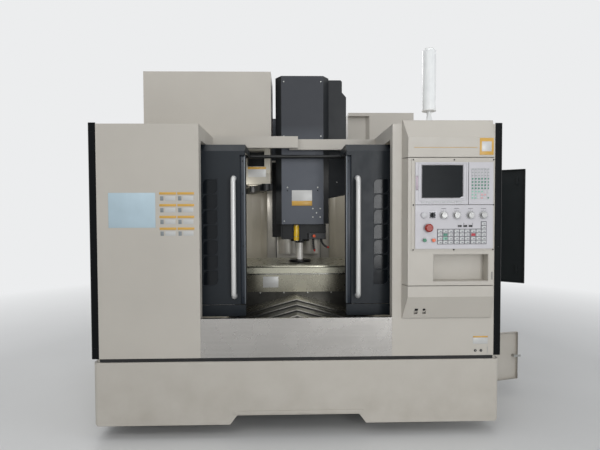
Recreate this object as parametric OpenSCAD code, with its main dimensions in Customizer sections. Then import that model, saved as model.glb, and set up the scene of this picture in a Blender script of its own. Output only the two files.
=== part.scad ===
/* [Machine] */
// Width of the enclosure over the corner posts
shell_w = 2400; // [2300:10:2500]
// Sideways offset of the enclosure from the spindle axis
shell_x = -30; // [-45:5:0]
// Depth from the bed's middle forward to the front sheets
front_reach = 1150; // [1140:5:1200]
// Height of the front sheets over the floor
panel_top = 1836; // [1826:2:1860]
// Height of the bottom edge of the front sheets
panel_low = 478; // [470:2:486]
// Width of the loading opening between the front sheets
opening_w = 1120; // [1080:10:1140]
// Thickness of the folded sheets
sheet_t = 3; // [2:0.5:4]

/* [Axes] */
// Travel of the table
x_travel = 800; // [700:10:800]
// Travel of the saddle
y_travel = 500; // [460:10:500]
// Travel of the head
z_travel = 550; // [500:10:550]
// Distance from the front sheets back to the spindle axis
spindle_depth = 755; // [745:5:765]
// Height of the spindle nose over the floor
nose_z = 1112; // [1105:1:1120]

/* [Table] */
// Length of the table
table_l = 1000; // [900:10:1000]
// Width of the table
table_w = 550; // [500:10:550]
// Height of the table top over the floor
table_top = 952; // [944:1:953]
// Width of a T-slot
slot_w = 18; // [14:1:22]
// Spacing of the T-slots
slot_pitch = 100; // [80:5:100]
// Number of T-slots
slot_count = 5; // [3:1:5]

/* [Way covers] */
// Slope of the gabled way covers, in degrees
slope = 15; // [12:1:16]
// Half width of the front way cover
front_half = 390; // [360:5:395]
// Half width of the rear way cover
rear_half = 340; // [320:5:345]
// Length of one front cover segment
front_seg_l = 200; // [190:2:206]
// Length of one rear cover segment
rear_seg_l = 275; // [270:1:278]
// Height of the ridge of the widest cover segment
ridge_z = 755; // [745:1:758]
// Drop of the ridge from one segment to the next
nest_step = 12; // [10:0.5:12]

/* [Doors] */
// Width of one front door
door_w = 580; // [570:5:585]
// Height of the top edge of a front door
door_top = 1745; // [1735:1:1748]
// Distance from the front sheets back to the door faces
door_depth = 150; // [140:5:155]
// Opening of each door from the middle, as stored
door_open = 311; // [200:1:315]
// Size of one leaf-shaped door window
pane_size = 86; // [70:2:88]
// Number of windows in a column
pane_rows = 7; // [5:1:7]
// Number of window columns
pane_columns = 3; // [1:1:3]
// Length of the door handles
handle_l = 722; // [500:2:740]
// Radius of the door handles
handle_r = 15; // [10:0.5:17]

/* [Console] */
// Width of the console at its front face
console_w = 494; // [486:2:498]
// How far the console stands out of the front sheets
console_depth = 70; // [60:2:80]
// Height of the top of the console
console_top = 1855; // [1850:1:1862]
// Diameter of the rotary knobs
knob_d = 40; // [30:1:42]
// Diameter of the emergency stop head
estop_d = 46; // [36:1:50]
// Diameter of the beacon tube
beacon_d = 80; // [50:1:84]
// Length of the beacon tube
beacon_l = 360; // [300:5:380]

/* [Side doors] */
// Angle at which the side access door stands open
side_angle = 55; // [40:1:60]
// Width of the side access door
side_door_w = 740; // [700:5:750]
// Angle at which the service door stands open
service_angle = 104; // [90:1:108]
// Width of the service door
service_w = 430; // [410:2:440]

/* [Hidden] */

// Colours
cream = [0.75, 0.72, 0.67];
charcoal = [0.2, 0.22, 0.25];
near_black = [0.08, 0.1, 0.12];
steel = [0.65, 0.64, 0.6];
iron = [0.35, 0.37, 0.36];
liner_grey = [0.5, 0.51, 0.46];
plate_grey = [0.8, 0.79, 0.82];

// Fineness of round faces, seat gaps and the two sides
$fn = 48;
fine = 24;
eps = 0.5;
sides = [-1, 1];
touch = 0.3;

// Frame lines of the enclosure
front_y = -front_reach;
left_x = shell_x - shell_w / 2;
right_x = shell_x + shell_w / 2;
middle_x = shell_x - 8;
opening_l = middle_x - opening_w / 2;
opening_r = middle_x + opening_w / 2;
post_w = 46;
panel_return = 60;
wall_end_y = front_y + 1520;
skirt_end_y = front_y + 2020;
skirt_inset = 10;
skirt_top = panel_low - 22;
skirt_low = 83;
skirt_l = left_x + skirt_inset;
skirt_r = right_x - skirt_inset;
deck_t = 4;
deck_in = 506;
apron_top = 707;

// Frame lines of the machine
axis_y = front_y + spindle_depth;
bed_top = 560;
bed_low = 70;
bed_half = 480;
bed_front = front_y + 250;
bed_back = 870;
col_y = front_y + 1400;
column_back = 850;
column_top = 2150;
leg_in = rear_half + 16;
leg_out = 460;
column_half = 280;
rail_w = 35;
rail_h = 38;
y_rail_x = 280;
z_rail_x = 150;
carriage_w = 90;
carriage_h = 52;
foot_x = 400;
foot_y = 780;
foot_hole_r = 11;

// Saddle and table
table_rest_y = 39;
saddle_half = 620;
saddle_d = 520;
table_y = axis_y + table_rest_y;
saddle_front = table_y - saddle_d / 2;
saddle_back = table_y + saddle_d / 2;
saddle_low = bed_top + 62;
saddle_top = 772;
table_low = 836;
plate_h = 54;
x_rail_y = 150;
x_screw_z = saddle_top + 10;
guard_low = saddle_top - 3;
guard_top = table_top - plate_h - 2;

// Segments of the Y way covers
front_start = front_y + 30;
front_steps = 3;
front_step = (saddle_front - front_seg_l - front_start) / front_steps;
rear_end = front_y + 1560;
rear_steps = 2;
rear_step = (rear_end - rear_seg_l - saddle_back) / rear_steps;
cover_t = 2;
cover_skirt = 36;
lip_h = nest_step - touch;

// Head
head_back = col_y - 65;
head_half = 140;
plate_half = 225;
head_front = axis_y - 120;
cast_low = nose_z + 18;
casting_top = 1560;
cover_front = front_y + 575;
cover_half = 190;
cover_x = 16;
lane_x = -35;
face_half = 147;
cover_low = nose_z + 128;
cover_top = 2280;
cover_back = front_y + 1150;
nose_r = 70;
cartridge_r = 62;
shaft_r = 35;

// Z way cover
z_cover_half = 190;
z_plate_l = 290;
z_cover_top = cast_low - 20 - touch;
z_cover_gap = 4;
z_cover_y = col_y - 62;
lobe_low = 960;
lobe_depth = 44;

// Tool changer
disc_x = -748;
disc_z = 1920;
disc_r = 340;
pot_circle_r = 296;
pot_r = 36;
pot_count = 20;
disc_y = front_y + 880;
arm_x = -320;
pot_phase = 90 - asin((2 * arm_x - disc_x) / pot_circle_r);
arm_r = 320;
arm_z = 1494;
cam_front = front_y + 610;
cam_back = front_y + 805;
cam_low = 1525;
mag_front = front_y + 600;
mag_back = front_y + 965;
mag_l = -1098;
mag_r = -205;
mag_top = 2316;
mag_low = 1520;

// Doors
door_t = 40;
door_low = 760;
door_bevel = 45;
flap_back = front_y + 500;
left_door_in = middle_x - door_open;
right_door_in = middle_x + door_open;
bar_y = front_y + 540;
bar_z = 1712;
bar_r = 12;
trim_w = 28;
handle_z = 812;
handle_in = 66;
handle_off = 52;

// Console
console_l = 595;
console_r = console_l + console_w;
panel_y = front_y - console_depth;
back_face = front_y - touch;
flare = 18;
seam = 4;
cap_low = 1636;
cap_edge = 1748;
box_low = 901;
base_edge = 839;
base_low = 703;
plate_t = 3;
bezel_t = 6;
plate_y = panel_y - plate_t;

module block(x0, x1, y0, y1, z0, z1) {
  translate([x0, y0, z0]) cube([x1 - x0, y1 - y0, z1 - z0]);
}

// Bar lying along X
module bar_x(x0, x1, y, z, r, f = $fn) {
  translate([x0, y, z]) rotate([0, 90, 0]) cylinder(r = r, h = x1 - x0, $fn = f);
}

// Bar lying along Y
module bar_y(y0, y1, x, z, r, f = $fn) {
  translate([x, y1, z]) rotate([90, 0, 0]) cylinder(r = r, h = y1 - y0, $fn = f);
}

// Profile drawn in the Y-Z plane and run along X
module profile_x(points, x0, x1) {
  translate([x0, 0, 0]) rotate([90, 0, 90]) linear_extrude(x1 - x0) polygon(points);
}

// Profile drawn in the X-Z plane and run along Y
module profile_y(points, y0, y1) {
  translate([0, y1, 0]) rotate([90, 0, 0]) linear_extrude(y1 - y0) polygon(points);
}

// Sheet box open to the rear, with a face and four returns
module tray_panel(x0, x1, y, z0, z1, deep) {
  difference() {
    block(x0, x1, y, y + deep, z0, z1);
    block(x0 + sheet_t, x1 - sheet_t, y + sheet_t, y + deep + 1, z0 + sheet_t, z1 - sheet_t);
  }
}

// Structure
module bed() color(iron) {
  rib_t = 28;
  pocket_h = 240;
  pocket_z = bed_low + 110;
  trough_half = y_rail_x - 70;
  trough_z = bed_top - 120;
  land_half = 42;
  difference() {
    union() {
      block(-bed_half + 60, bed_half - 60, bed_front, bed_back, bed_low, bed_top - 14);
      block(-bed_half, bed_half, bed_front + 20, bed_back - 20, bed_low, bed_low + 90);
      for (s = sides) block(s * y_rail_x - land_half, s * y_rail_x + land_half,
        bed_front, col_y - 20, bed_top - 20, bed_top);
      block(-leg_out - 10, leg_out + 10, col_y - 20, bed_back, bed_low + 60, bed_top);
    }
    block(-trough_half, trough_half, bed_front - 1, col_y + 140, trough_z, bed_top + 1);
    for (s = sides) for (k = [0 : 5]) {
      y0 = bed_front + 60 + k * 262;
      block(min(s * (bed_half + 1), s * (bed_half - 120)), max(s * (bed_half + 1), s * (bed_half - 120)),
        y0, y0 + 262 - rib_t * 2, pocket_z, pocket_z + pocket_h);
    }
    for (s = sides) for (k = [-1, 0, 1])
      translate([s * foot_x, k * foot_y, bed_low - 1]) cylinder(r = 21, h = 92);
  }
}

module column() color(iron) {
  neck_z = 1200;
  arch_z = 806;
  web_t = 34;
  difference() {
    intersection() {
      profile_y([
        [-leg_out, bed_top], [leg_out, bed_top], [leg_out, arch_z], [column_half, neck_z],
        [column_half, column_top], [-column_half, column_top],
        [-column_half, neck_z], [-leg_out, arch_z]
      ], col_y, column_back);
      profile_x([
        [col_y, bed_top], [column_back, bed_top], [column_back, neck_z],
        [column_back - 150, column_top], [col_y, column_top]
      ], -leg_out, leg_out);
    }
    block(-leg_in, leg_in, col_y - 1, column_back + 1, bed_top - 1, arch_z - 40);
    profile_y([
      [-leg_in, arch_z - 41], [leg_in, arch_z - 41], [leg_in - 60, arch_z + 40],
      [-leg_in + 60, arch_z + 40]
    ], col_y + 90, column_back + 1);
    block(-z_rail_x + 50, z_rail_x - 50, col_y - 1, col_y + 150, arch_z + 60, column_top + 1);
    for (k = [0 : 3]) {
      z0 = 1250 + k * 215;
      block(-column_half + web_t, column_half - web_t, col_y + 190, column_back + 1,
        z0, z0 + 215 - web_t);
    }
    for (s = sides) for (k = [0 : 2]) {
      z0 = 1290 + k * 270;
      translate([s * column_half, col_y + 110, z0 + 60]) rotate([0, 90, 0])
        cylinder(r = 38, h = 60, center = true, $fn = fine);
    }
  }
}

module levelling_feet() color(steel) {
  screw_r = 20;
  pad_r = 60;
  pad_h = 36;
  seat_h = 8;
  for (s = sides) for (k = [-1, 0, 1]) translate([s * foot_x, k * foot_y, 0]) {
    difference() {
      union() {
        cylinder(r = pad_r, h = pad_h - 10);
        translate([0, 0, pad_h - 10]) cylinder(r1 = pad_r, r2 = pad_r - 12, h = 10);
      }
      translate([0, 0, -1]) cylinder(r = foot_hole_r, h = pad_h + 2);
      translate([0, 0, pad_h - seat_h]) cylinder(r = screw_r + 3, h = seat_h + 1);
    }
    difference() {
      union() {
        translate([0, 0, pad_h - seat_h]) cylinder(r = screw_r, h = 120);
        translate([0, 0, bed_low - 16]) cylinder(r = 34, h = 16, $fn = 6);
      }
      translate([0, 0, -1]) cylinder(r = foot_hole_r, h = 200);
    }
  }
}

module rail_profile() {
  waist = rail_w / 2 - 5;
  polygon([
    [-rail_w / 2, 0], [rail_w / 2, 0], [rail_w / 2, 8], [waist, 16], [waist, 24],
    [rail_w / 2, 30], [rail_w / 2, rail_h], [-rail_w / 2, rail_h], [-rail_w / 2, 30],
    [-waist, 24], [-waist, 16], [-rail_w / 2, 8]
  ]);
}

module rail(l) {
  bolt_pitch = 160;
  difference() {
    linear_extrude(l) rail_profile();
    for (z = [bolt_pitch / 2 : bolt_pitch : l - 20])
      translate([0, rail_h - 14, z]) rotate([-90, 0, 0]) cylinder(r = 7, h = 20, $fn = fine);
  }
}

module frame_rails() color(steel) {
  y_rail_l = col_y - 40 - bed_front;
  z_rail_low = 900;
  for (s = sides) {
    translate([s * y_rail_x, bed_front + y_rail_l, bed_top]) rotate([90, 0, 0]) rail(y_rail_l);
    translate([s * z_rail_x, col_y, z_rail_low]) rotate([0, 0, 180])
      rail(column_top - 20 - z_rail_low);
  }
}

// Servo motor standing on its flange, shaft end at the origin, body along +Z
module servo(body_w, body_l) {
  difference() {
    union() {
      translate([0, 0, 6]) cube([body_w, body_w, 12], center = true);
      translate([-body_w / 2 + 6, -body_w / 2 + 6, 12]) cube([body_w - 12, body_w - 12, body_l]);
      translate([-body_w / 2 + 14, -body_w / 2 + 14, 12 + body_l]) cube([body_w - 28, body_w - 28, 34]);
    }
    for (k = [0 : 4]) translate([0, 0, 30 + k * (body_l - 30) / 5]) difference() {
      translate([-body_w, -body_w, 0]) cube([2 * body_w, 2 * body_w, 6]);
      translate([-body_w / 2 + 10, -body_w / 2 + 10, -1]) cube([body_w - 20, body_w - 20, 8]);
    }
  }
}

module frame_drives() color(near_black) {
  screw_r = 20;
  y_screw_z = bed_top - 60;
  z_screw_y = col_y + 36;
  // Y screw in its two bearing blocks, with the motor in front
  bar_y(bed_front + 30, col_y + 60, 0, y_screw_z, screw_r);
  for (y = [bed_front + 20, col_y + 20]) difference() {
    block(-70, 70, y, y + 60, bed_top - 120, bed_top - 8);
    bar_y(y - 1, y + 61, 0, y_screw_z, screw_r + touch);
  }
  translate([0, bed_front + 18, y_screw_z]) rotate([90, 0, 0]) servo(120 - 2 * touch, 130);
  // Z screw between the rails, with the motor on top of the column
  translate([0, z_screw_y, 1000]) cylinder(r = screw_r, h = column_top - 20 - 1000);
  for (z = [900, column_top - 90]) difference() {
    block(-70, 70, z_screw_y - 34, col_y + 150, z, z + 60);
    translate([0, z_screw_y, z - 1]) cylinder(r = screw_r + touch, h = 62);
  }
  difference() {
    block(-110, 110, col_y - 25, col_y + 150, column_top, column_top + 60);
    block(-80, 80, col_y - 26, col_y + 100, column_top - 1, column_top + 46);
  }
  translate([0, z_screw_y, column_top + 60]) servo(120, 130);
}

// Enclosure
module skirt_outline(inset, r) {
  x0 = skirt_l + inset;
  x1 = skirt_r - inset;
  y0 = front_y + inset;
  for (x = [x0 + r, x1 - r]) translate([x, y0 + r]) circle(r = r);
  translate([x0 + r, y0]) square([x1 - x0 - 2 * r, 2 * r]);
  translate([x0, y0 + r]) square([x1 - x0, skirt_end_y - y0 - r]);
}

module base_skirt() color(cream) {
  corner_r = 28;
  recess_half_top = 359;
  recess_half_low = 401;
  recess_top = 137;
    upstand_in = 18;
  difference() {
    union() {
      difference() {
        translate([0, 0, skirt_low]) linear_extrude(skirt_top - skirt_low) skirt_outline(0, corner_r);
        translate([0, 0, skirt_low - 1]) linear_extrude(skirt_top - deck_t - skirt_low + 1)
          skirt_outline(sheet_t, corner_r - sheet_t);
        block(-deck_in, deck_in, bed_front - 60, skirt_end_y + 1, skirt_low, skirt_top + 1);
        block(-90, 90, bed_front - 180, bed_front - 59, skirt_low, skirt_top + 1);
      }
      // Lip that the front sheets stand on
      difference() {
        block(skirt_l + upstand_in, skirt_r - upstand_in, front_y + upstand_in, wall_end_y,
          skirt_top - eps, panel_low);
        block(skirt_l + upstand_in + sheet_t, skirt_r - upstand_in - sheet_t,
          front_y + upstand_in + sheet_t, wall_end_y + 1, skirt_top - 1, panel_low + 1);
      }
      // Stiffening fold over the front recess
      block(shell_x - recess_half_low + 20, shell_x + recess_half_low - 20, front_y - 4, front_y + eps,
        recess_top + 8, recess_top + 26);
      // Bottom folds of the side walls
      for (x = [skirt_l, skirt_r - 40])
        block(x, x + 40, front_y + 60, skirt_end_y, skirt_low, skirt_low + sheet_t);
    }
    profile_y([
      [shell_x - recess_half_low, skirt_low - 1], [shell_x + recess_half_low, skirt_low - 1],
      [shell_x + recess_half_top, recess_top], [shell_x - recess_half_top, recess_top]
    ], front_y - 10, front_y + 40);
    // Service hatch in the right side
    block(skirt_r - sheet_t - 41, skirt_r + 1, service_y - service_w + 12, service_y - 12,
      service_z0 + 12, service_z1 - 12);
    // Notch that lets the latch tongue through
    block(skirt_r - sheet_t - 1, skirt_r + 1, service_y - service_w - 22,
      service_y - service_w + 13, (service_z0 + service_z1) / 2 - 12, (service_z0 + service_z1) / 2 + 12);
    // Rounded lower front corners
    for (s = sides) translate([s < 0 ? skirt_l : skirt_r, 0, skirt_low]) scale([s, 1, 1])
      translate([-corner_r, 0, corner_r]) difference() {
        translate([0, front_y - 5, -corner_r - 1]) cube([corner_r + 1, 40, corner_r + 1]);
        bar_y(front_y - 6, front_y + 36, 0, 0, corner_r);
      }
  }
}

module front_panels() color(cream) {
  hatch_in = 40;
  tray_panel(left_x + post_w, opening_l, front_y, panel_low + touch, panel_top, panel_return);
  // Right panel with the hatch behind the console
  difference() {
    tray_panel(opening_r, right_x - post_w, front_y, panel_low + touch, panel_top, panel_return);
    block(console_l + hatch_in, console_r - hatch_in, front_y - 1, front_y + sheet_t + 1,
      box_low + hatch_in, cap_low - hatch_in);
    for (p = [108, 74]) bar_y(front_y - 1, front_y + sheet_t + 1, right_x - post_w - p, 506, 5, fine);
  }
}

post_leg = 130;

module post_section() {
  r = 14;
  difference() {
    union() {
      translate([r, r]) circle(r = r);
      translate([r, 0]) square([post_w - touch - r, sheet_t]);
      translate([0, r]) square([sheet_t, post_leg - r]);
    }
    translate([r, r]) circle(r = r - sheet_t);
    translate([r, sheet_t]) square([post_w, post_leg]);
    translate([sheet_t, r]) square([post_w, post_leg]);
  }
}

module corner_posts() color(near_black) {
  for (s = [0, 1]) translate([s == 0 ? left_x : right_x, front_y, panel_low + touch])
    mirror([s, 0, 0]) linear_extrude(panel_top + 6 - panel_low) post_section();
}

// Dark sills under the doors, following the chip slope at their outer ends
wall_in = 45;
chip_low_x = deck_in + 2;
chip_low_z = 600;
chip_high_z = 750;
chip_t = 4;
sill_open = 311;
sill_top = door_low - 3;
sill_low = ridge_z - (middle_x + sill_open) * tan(slope) + 6;

module door_sills() color(charcoal) {
  y0 = front_y + door_depth;
  for (s = sides) {
    outer = s < 0 ? -left_x - wall_in : right_x - wall_in;
    run = (outer - chip_low_x) / (chip_high_z - chip_low_z);
    in = s * middle_x + sill_open;
    low = chip_low_x + (sill_low - chip_low_z - chip_t - 1) * run;
    high = chip_low_x + (sill_top - 20 - chip_low_z - chip_t - 1) * run;
    difference() {
      profile_y([
        [s * in, sill_low], [s * low, sill_low], [s * high, sill_top - 20], [s * high, sill_top],
        [s * in, sill_top]
      ], y0, y0 + door_t);
      profile_y([
        [s * (in + sheet_t), sill_low + sheet_t], [s * low, sill_low + sheet_t],
        [s * (high + 50), sill_top - 20 + sheet_t], [s * (high + 50), sill_top + 1],
        [s * (in + sheet_t), sill_top + 1]
      ], y0 + sheet_t, y0 + door_t + 1);
    }
  }
}

// Side sheets behind the corner posts, one with a fixed window and one with the access opening
side_y = front_y + 1334;
side_z0 = 752;
side_z1 = 1660;
service_y = front_y + 500;
service_z0 = 105;
service_z1 = 448;

module side_walls() color(cream) {
  wall_y0 = front_y + 130 + touch;
  wall_top = panel_top - touch;
  fold = 40;
  window_in = 40;
  difference() {
    union() {
      block(left_x, left_x + sheet_t, wall_y0, wall_end_y, panel_low + touch, wall_top);
      block(left_x, left_x + fold, wall_end_y - sheet_t, wall_end_y, panel_low + touch, wall_top);
    }
    block(left_x - 1, left_x + sheet_t + 1, side_y - side_door_w + window_in, side_y - window_in,
      side_z0 + window_in, side_z1 - window_in);
  }
  // Frame of the left window
  difference() {
    block(left_x - 6, left_x - touch, side_y - side_door_w, side_y, side_z0, side_z1);
    block(left_x - 7, left_x, side_y - side_door_w + window_in, side_y - window_in,
      side_z0 + window_in, side_z1 - window_in);
  }
  block(left_x + sheet_t + touch, left_x + sheet_t + 6, side_y - side_door_w + 10, side_y - 10,
    side_z0 + 10, side_z1 - 10);
  difference() {
    union() {
      block(right_x - sheet_t, right_x, wall_y0, wall_end_y, panel_low + touch, wall_top);
      block(right_x - fold, right_x, wall_end_y - sheet_t, wall_end_y, panel_low + touch, wall_top);
    }
    block(right_x - sheet_t - 1, right_x + 1, side_y - side_door_w + 20, side_y - 20,
      side_z0 + 20, side_z1 - 20);
  }
}

module inner_walls() color(liner_grey) {
  t = chip_t;
  back_y = col_y - t - touch;
  gap_half = 290;
  fold_half = 410;
  slope_y = front_y + 1340;
  sill_z = chip_high_z;
  low_half = chip_low_x;
  low_z = chip_low_z;
  wall_top = panel_top - 20;
  for (s = sides) {
    outer = s < 0 ? left_x + wall_in : right_x - wall_in;
    low = s * low_half;
    // Rear wall with its fold
    translate([0, 0, sill_z]) linear_extrude(wall_top - sill_z) polygon([
      [s * gap_half, back_y], [s * fold_half, back_y], [outer, slope_y], [outer, slope_y + t],
      [s * fold_half, back_y + t], [s * gap_half, back_y + t]
    ]);
    // Side wall with the opening towards the side door
    difference() {
      block(min(outer, outer + s * t), max(outer, outer + s * t), front_y + 66, slope_y + t, sill_z,
        wall_top);
      block(outer - 10, outer + 10, side_y - side_door_w + 30, side_y - 30, sill_z + 20, side_z1 - 30);
    }
    // Chip slope from the side wall down to the bed
    profile_y([
      [low, skirt_top + touch], [low + s * t, skirt_top + touch], [low + s * t, low_z], [outer, sill_z - 1],
      [outer + s * t, sill_z - 1], [outer + s * t, sill_z + t], [outer, sill_z + t], [low, low_z + t]
    ], front_y + 66, back_y);
  }
}

module roof() color(cream) {
  roof_back = wall_end_y;
  fascia_z = 1752;
  roof_t = 4;
  roof_in = sheet_t + touch;
  roof_z = panel_top - roof_t;
  rim = 40;
  difference() {
    union() {
      block(left_x + roof_in, right_x - roof_in, front_y + panel_return + touch, roof_back - 4, roof_z,
        panel_top);
      // Fascia down both sides of the loading opening
      for (x = [opening_l - sheet_t, opening_r])
        block(x, x + sheet_t, front_y + panel_return + touch, front_y + 560, fascia_z, panel_top);
      // Rim folded down all round
      difference() {
        block(left_x + roof_in, right_x - roof_in, front_y + post_leg + 1, roof_back - 4, panel_top - rim,
          panel_top);
        block(left_x + roof_in + sheet_t, right_x - roof_in - sheet_t, front_y + 120, roof_back - 7,
          panel_top - rim - 1, panel_top);
      }
    }
    block(opening_l, opening_r, front_y, front_y + 521, fascia_z - 1, panel_top + 1);
    block(-cover_half - 60, 520, front_y + 500, col_y - 20, roof_z - 1, panel_top + 1);
    block(-column_half - 20, column_half + 20, col_y - 21, roof_back + 1, panel_top - rim - 1,
      panel_top + 1);
    block(mag_l - 20, -cover_half - 59, mag_front - 20, mag_back + 20, roof_z - 1, panel_top + 1);
  }
}

module crossbeams() color(cream) {
  left_beam_y = front_y + 475;
  right_beam_y = front_y + 523;
  beam_d = 30;
  middle = -17;
  difference() {
    block(opening_l + touch, middle, left_beam_y, left_beam_y + beam_d, 1765, 1843);
    block(opening_l, middle + 1, left_beam_y + sheet_t, left_beam_y + beam_d + 1, 1768, 1840);
  }
  difference() {
    block(middle - 60, opening_r - touch, right_beam_y, right_beam_y + beam_d, 1758, 1830);
    block(middle - 61, opening_r, right_beam_y + sheet_t, right_beam_y + beam_d + 1, 1761, 1827);
  }
  // Joining plate where the two beams overlap
  block(middle - 60, middle, left_beam_y + beam_d + touch, right_beam_y - touch, 1790, 1812);
  // Round bar that the doors hang on, with its brackets
  bar_x(left_x + 60, right_x - 60, bar_y, bar_z, bar_r);
  for (x = [left_x + 60, right_x - 72]) difference() {
    block(x, x + 12, bar_y - 24, bar_y + 24, bar_z - 30, panel_top - 4 - touch);
    bar_x(x - 1, x + 13, bar_y, bar_z, bar_r + 0.05);
  }
}

module apron() color(steel) {
  lip = 22;
  difference() {
    union() {
      block(opening_l + touch, opening_r - touch, front_y, front_y + 2, panel_low + touch, apron_top);
      block(opening_l + touch, opening_r - touch, front_y, front_y + lip, apron_top - 2, apron_top);
      // Inner wall that the door bottoms run behind
      profile_x([
        [front_y + 20, panel_low + touch], [front_y + 24, panel_low + touch],
        [front_y + 24, apron_top - eps], [front_y + 20, apron_top - eps]
      ], opening_l + touch, opening_r - touch);
    }
    for (x = [opening_l + 60 : 250 : opening_r - 50])
      bar_y(front_y + 10, front_y + 30, x, panel_low + 26, 5, fine);
  }
}

// Outline of the three console boxes seen from above
module plan(inset) {
  b = flare;
  polygon([
    [console_l + inset, panel_y + inset], [console_r - inset, panel_y + inset],
    [console_r + b - inset, back_face], [console_l - b + inset, back_face]
  ]);
}

module console_shell() color(cream) {
  back = back_face;
  l0 = console_l;
  r0 = console_r;
  b = flare;
  wall = sheet_t;
  pocket_l = 743;
  pocket_r = 1056;
  // Cap with a sloping top
  difference() {
    translate([0, 0, cap_low]) linear_extrude(console_top - cap_low) plan(0);
    translate([0, 0, cap_low - 1]) linear_extrude(console_top - cap_low + 1 - wall) plan(wall);
    profile_x([
      [panel_y - 1, cap_edge], [panel_y, cap_edge], [back - 8, console_top], [back - 8, console_top + 1],
      [panel_y - 1, console_top + 1]
    ], l0 - b - 1, r0 + b + 1);
  }
  profile_x([
    [panel_y + wall, cap_edge - 5], [panel_y, cap_edge - 1], [back - 8, console_top - 1],
    [back - 8, console_top - 6]
  ], l0 + 1, r0 - 1);
  // Middle box with the storage pocket
  difference() {
    translate([0, 0, box_low + seam]) linear_extrude(cap_low - seam - box_low - seam) plan(0);
    difference() {
      translate([0, 0, box_low + seam + wall])
        linear_extrude(cap_low - seam - box_low - seam - 2 * wall) plan(wall);
      block(pocket_l - wall, pocket_r + wall, panel_y - 1, back + 1, 927, 1085);
    }
    block(pocket_l, pocket_r, panel_y - 1, back - wall, 930, 1082);
    for (p = knob_points) bar_y(panel_y - 1, panel_y + wall + 1, p[0], p[1], 5.2, fine);
    for (p = button_points) bar_y(panel_y - 1, panel_y + wall + 1, p[0], p[1], 7.2, fine);
  }
  // Lower shell with a sloping underside and two cable ports
  difference() {
    translate([0, 0, base_low]) linear_extrude(box_low - base_low) plan(0);
    translate([0, 0, base_low - 1]) linear_extrude(box_low + 1 - base_low - wall) plan(wall);
    profile_x([
      [panel_y - 1, base_edge], [panel_y, base_edge], [back - 8, base_low], [back - 8, base_low - 1],
      [panel_y - 1, base_low - 1]
    ], l0 - b - 1, r0 + b + 1);
  }
  difference() {
    profile_x([
      [panel_y + wall, base_edge + 5], [panel_y, base_edge + 1], [back - 8, base_low + 1],
      [back - 8, base_low + 6]
    ], l0 + 1, r0 - 1);
    for (x = [654, 703]) translate([x, (panel_y + back) / 2 + 10, (base_edge + base_low) / 2 - 40])
      cylinder(r = 11, h = 80);
  }
}

// Places on the operator plate
knob_z = 1307;
knob_points = [[796, knob_z], [870, knob_z], [949, knob_z], [1023, knob_z]];
estop_x = 707;
estop_z = 1235;
green_x = 687;
orange_x = 738;
button_z = 1165;
selector_x = 732;
button_points = [[estop_x, estop_z], [green_x, button_z], [orange_x, button_z], [selector_x, knob_z]];
hole_r = 7.2;

module panel_plates() color(plate_grey) {
  // Backing plate
  difference() {
    block(614, 1087, plate_y, panel_y - touch, 1103, 1628);
    for (p = concat(knob_points, button_points)) bar_y(plate_y - 1, panel_y, p[0], p[1], hole_r, fine);
  }
  // Frame of the display
  difference() {
    block(634, 936, plate_y - bezel_t, plate_y - touch, 1367, 1606);
    block(671, 905, plate_y - bezel_t - 1, plate_y - 2, 1404, 1590);
  }
  // Keypad plate beside it
  block(939, 1079, plate_y - bezel_t, plate_y - touch, 1367, 1606);
  // Operator plate
  difference() {
    block(634, 1079, plate_y - bezel_t, plate_y - touch, 1116, 1364);
    for (p = concat(knob_points, button_points))
      bar_y(plate_y - bezel_t - 1, plate_y, p[0], p[1], hole_r, fine);
  }
  // White lamp at the left and three small windows
  bar_y(plate_y - bezel_t - 8, plate_y - bezel_t - touch, 683, knob_z, 17);
  for (k = [0 : 2]) block(876 + k * 31, 900 + k * 31, plate_y - bezel_t - 2, plate_y - bezel_t - touch,
    1238, 1252);
  // Small screws round the backing plate
  for (p = [[624, 1110], [857, 1110], [1082, 1110], [624, 1365], [1082, 1365], [624, 1620], [857, 1620],
    [1082, 1620]])
    bar_y(plate_y - 2.5, plate_y - touch, p[0], p[1], 3.5, fine);
}

module display() color(charcoal) {
  difference() {
    block(672, 904, plate_y - 6, plate_y - 2.4, 1405, 1589);
    block(880, 905, plate_y - 7, plate_y - 4, 1404, 1412);
  }
}

module keys() color(plate_grey) {
  key_y = plate_y - bezel_t;
  key_h = 3;
  // Keypad of six columns and ten rows
  for (i = [0 : 5]) for (j = [0 : 9])
    block(953 + i * 18, 965 + i * 18, key_y - key_h, key_y - touch, 1398 + j * 18, 1410 + j * 18);
  // Soft keys under the display
  for (i = [0 : 11]) block(669 + i * 20, 684 + i * 20, key_y - key_h, key_y - touch, 1376, 1386);
  // Three blocks of three by four keys and the tall last column
  for (b = [0 : 2]) for (i = [0 : 2]) for (j = [0 : 3])
    block(763 + b * 95 + i * 30, 788 + b * 95 + i * 30, key_y - key_h, key_y - touch,
      1145 + j * 21, 1162 + j * 21);
  for (j = [4, 5]) block(1013, 1038, key_y - key_h, key_y - touch, 1145 + j * 21, 1162 + j * 21);
}

module beacon() color("white") {
  beacon_x = 761;
  beacon_y = front_y + 90;
  foot_z = panel_top + touch;
  tube_z = 1934;
  // Turned stem with a cone foot
  translate([beacon_x, beacon_y, foot_z]) {
    cylinder(r = 40, h = 6);
    translate([0, 0, 6]) cylinder(r1 = 28, r2 = 13, h = 62);
    translate([0, 0, 68]) cylinder(r = 13, h = tube_z - foot_z - 68 - touch);
  }
  translate([beacon_x, beacon_y, tube_z]) {
    cylinder(r = beacon_d / 2, h = beacon_l - 12);
    translate([0, 0, beacon_l - 12]) cylinder(r1 = beacon_d / 2, r2 = beacon_d / 2 - 12, h = 12);
  }
}

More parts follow.
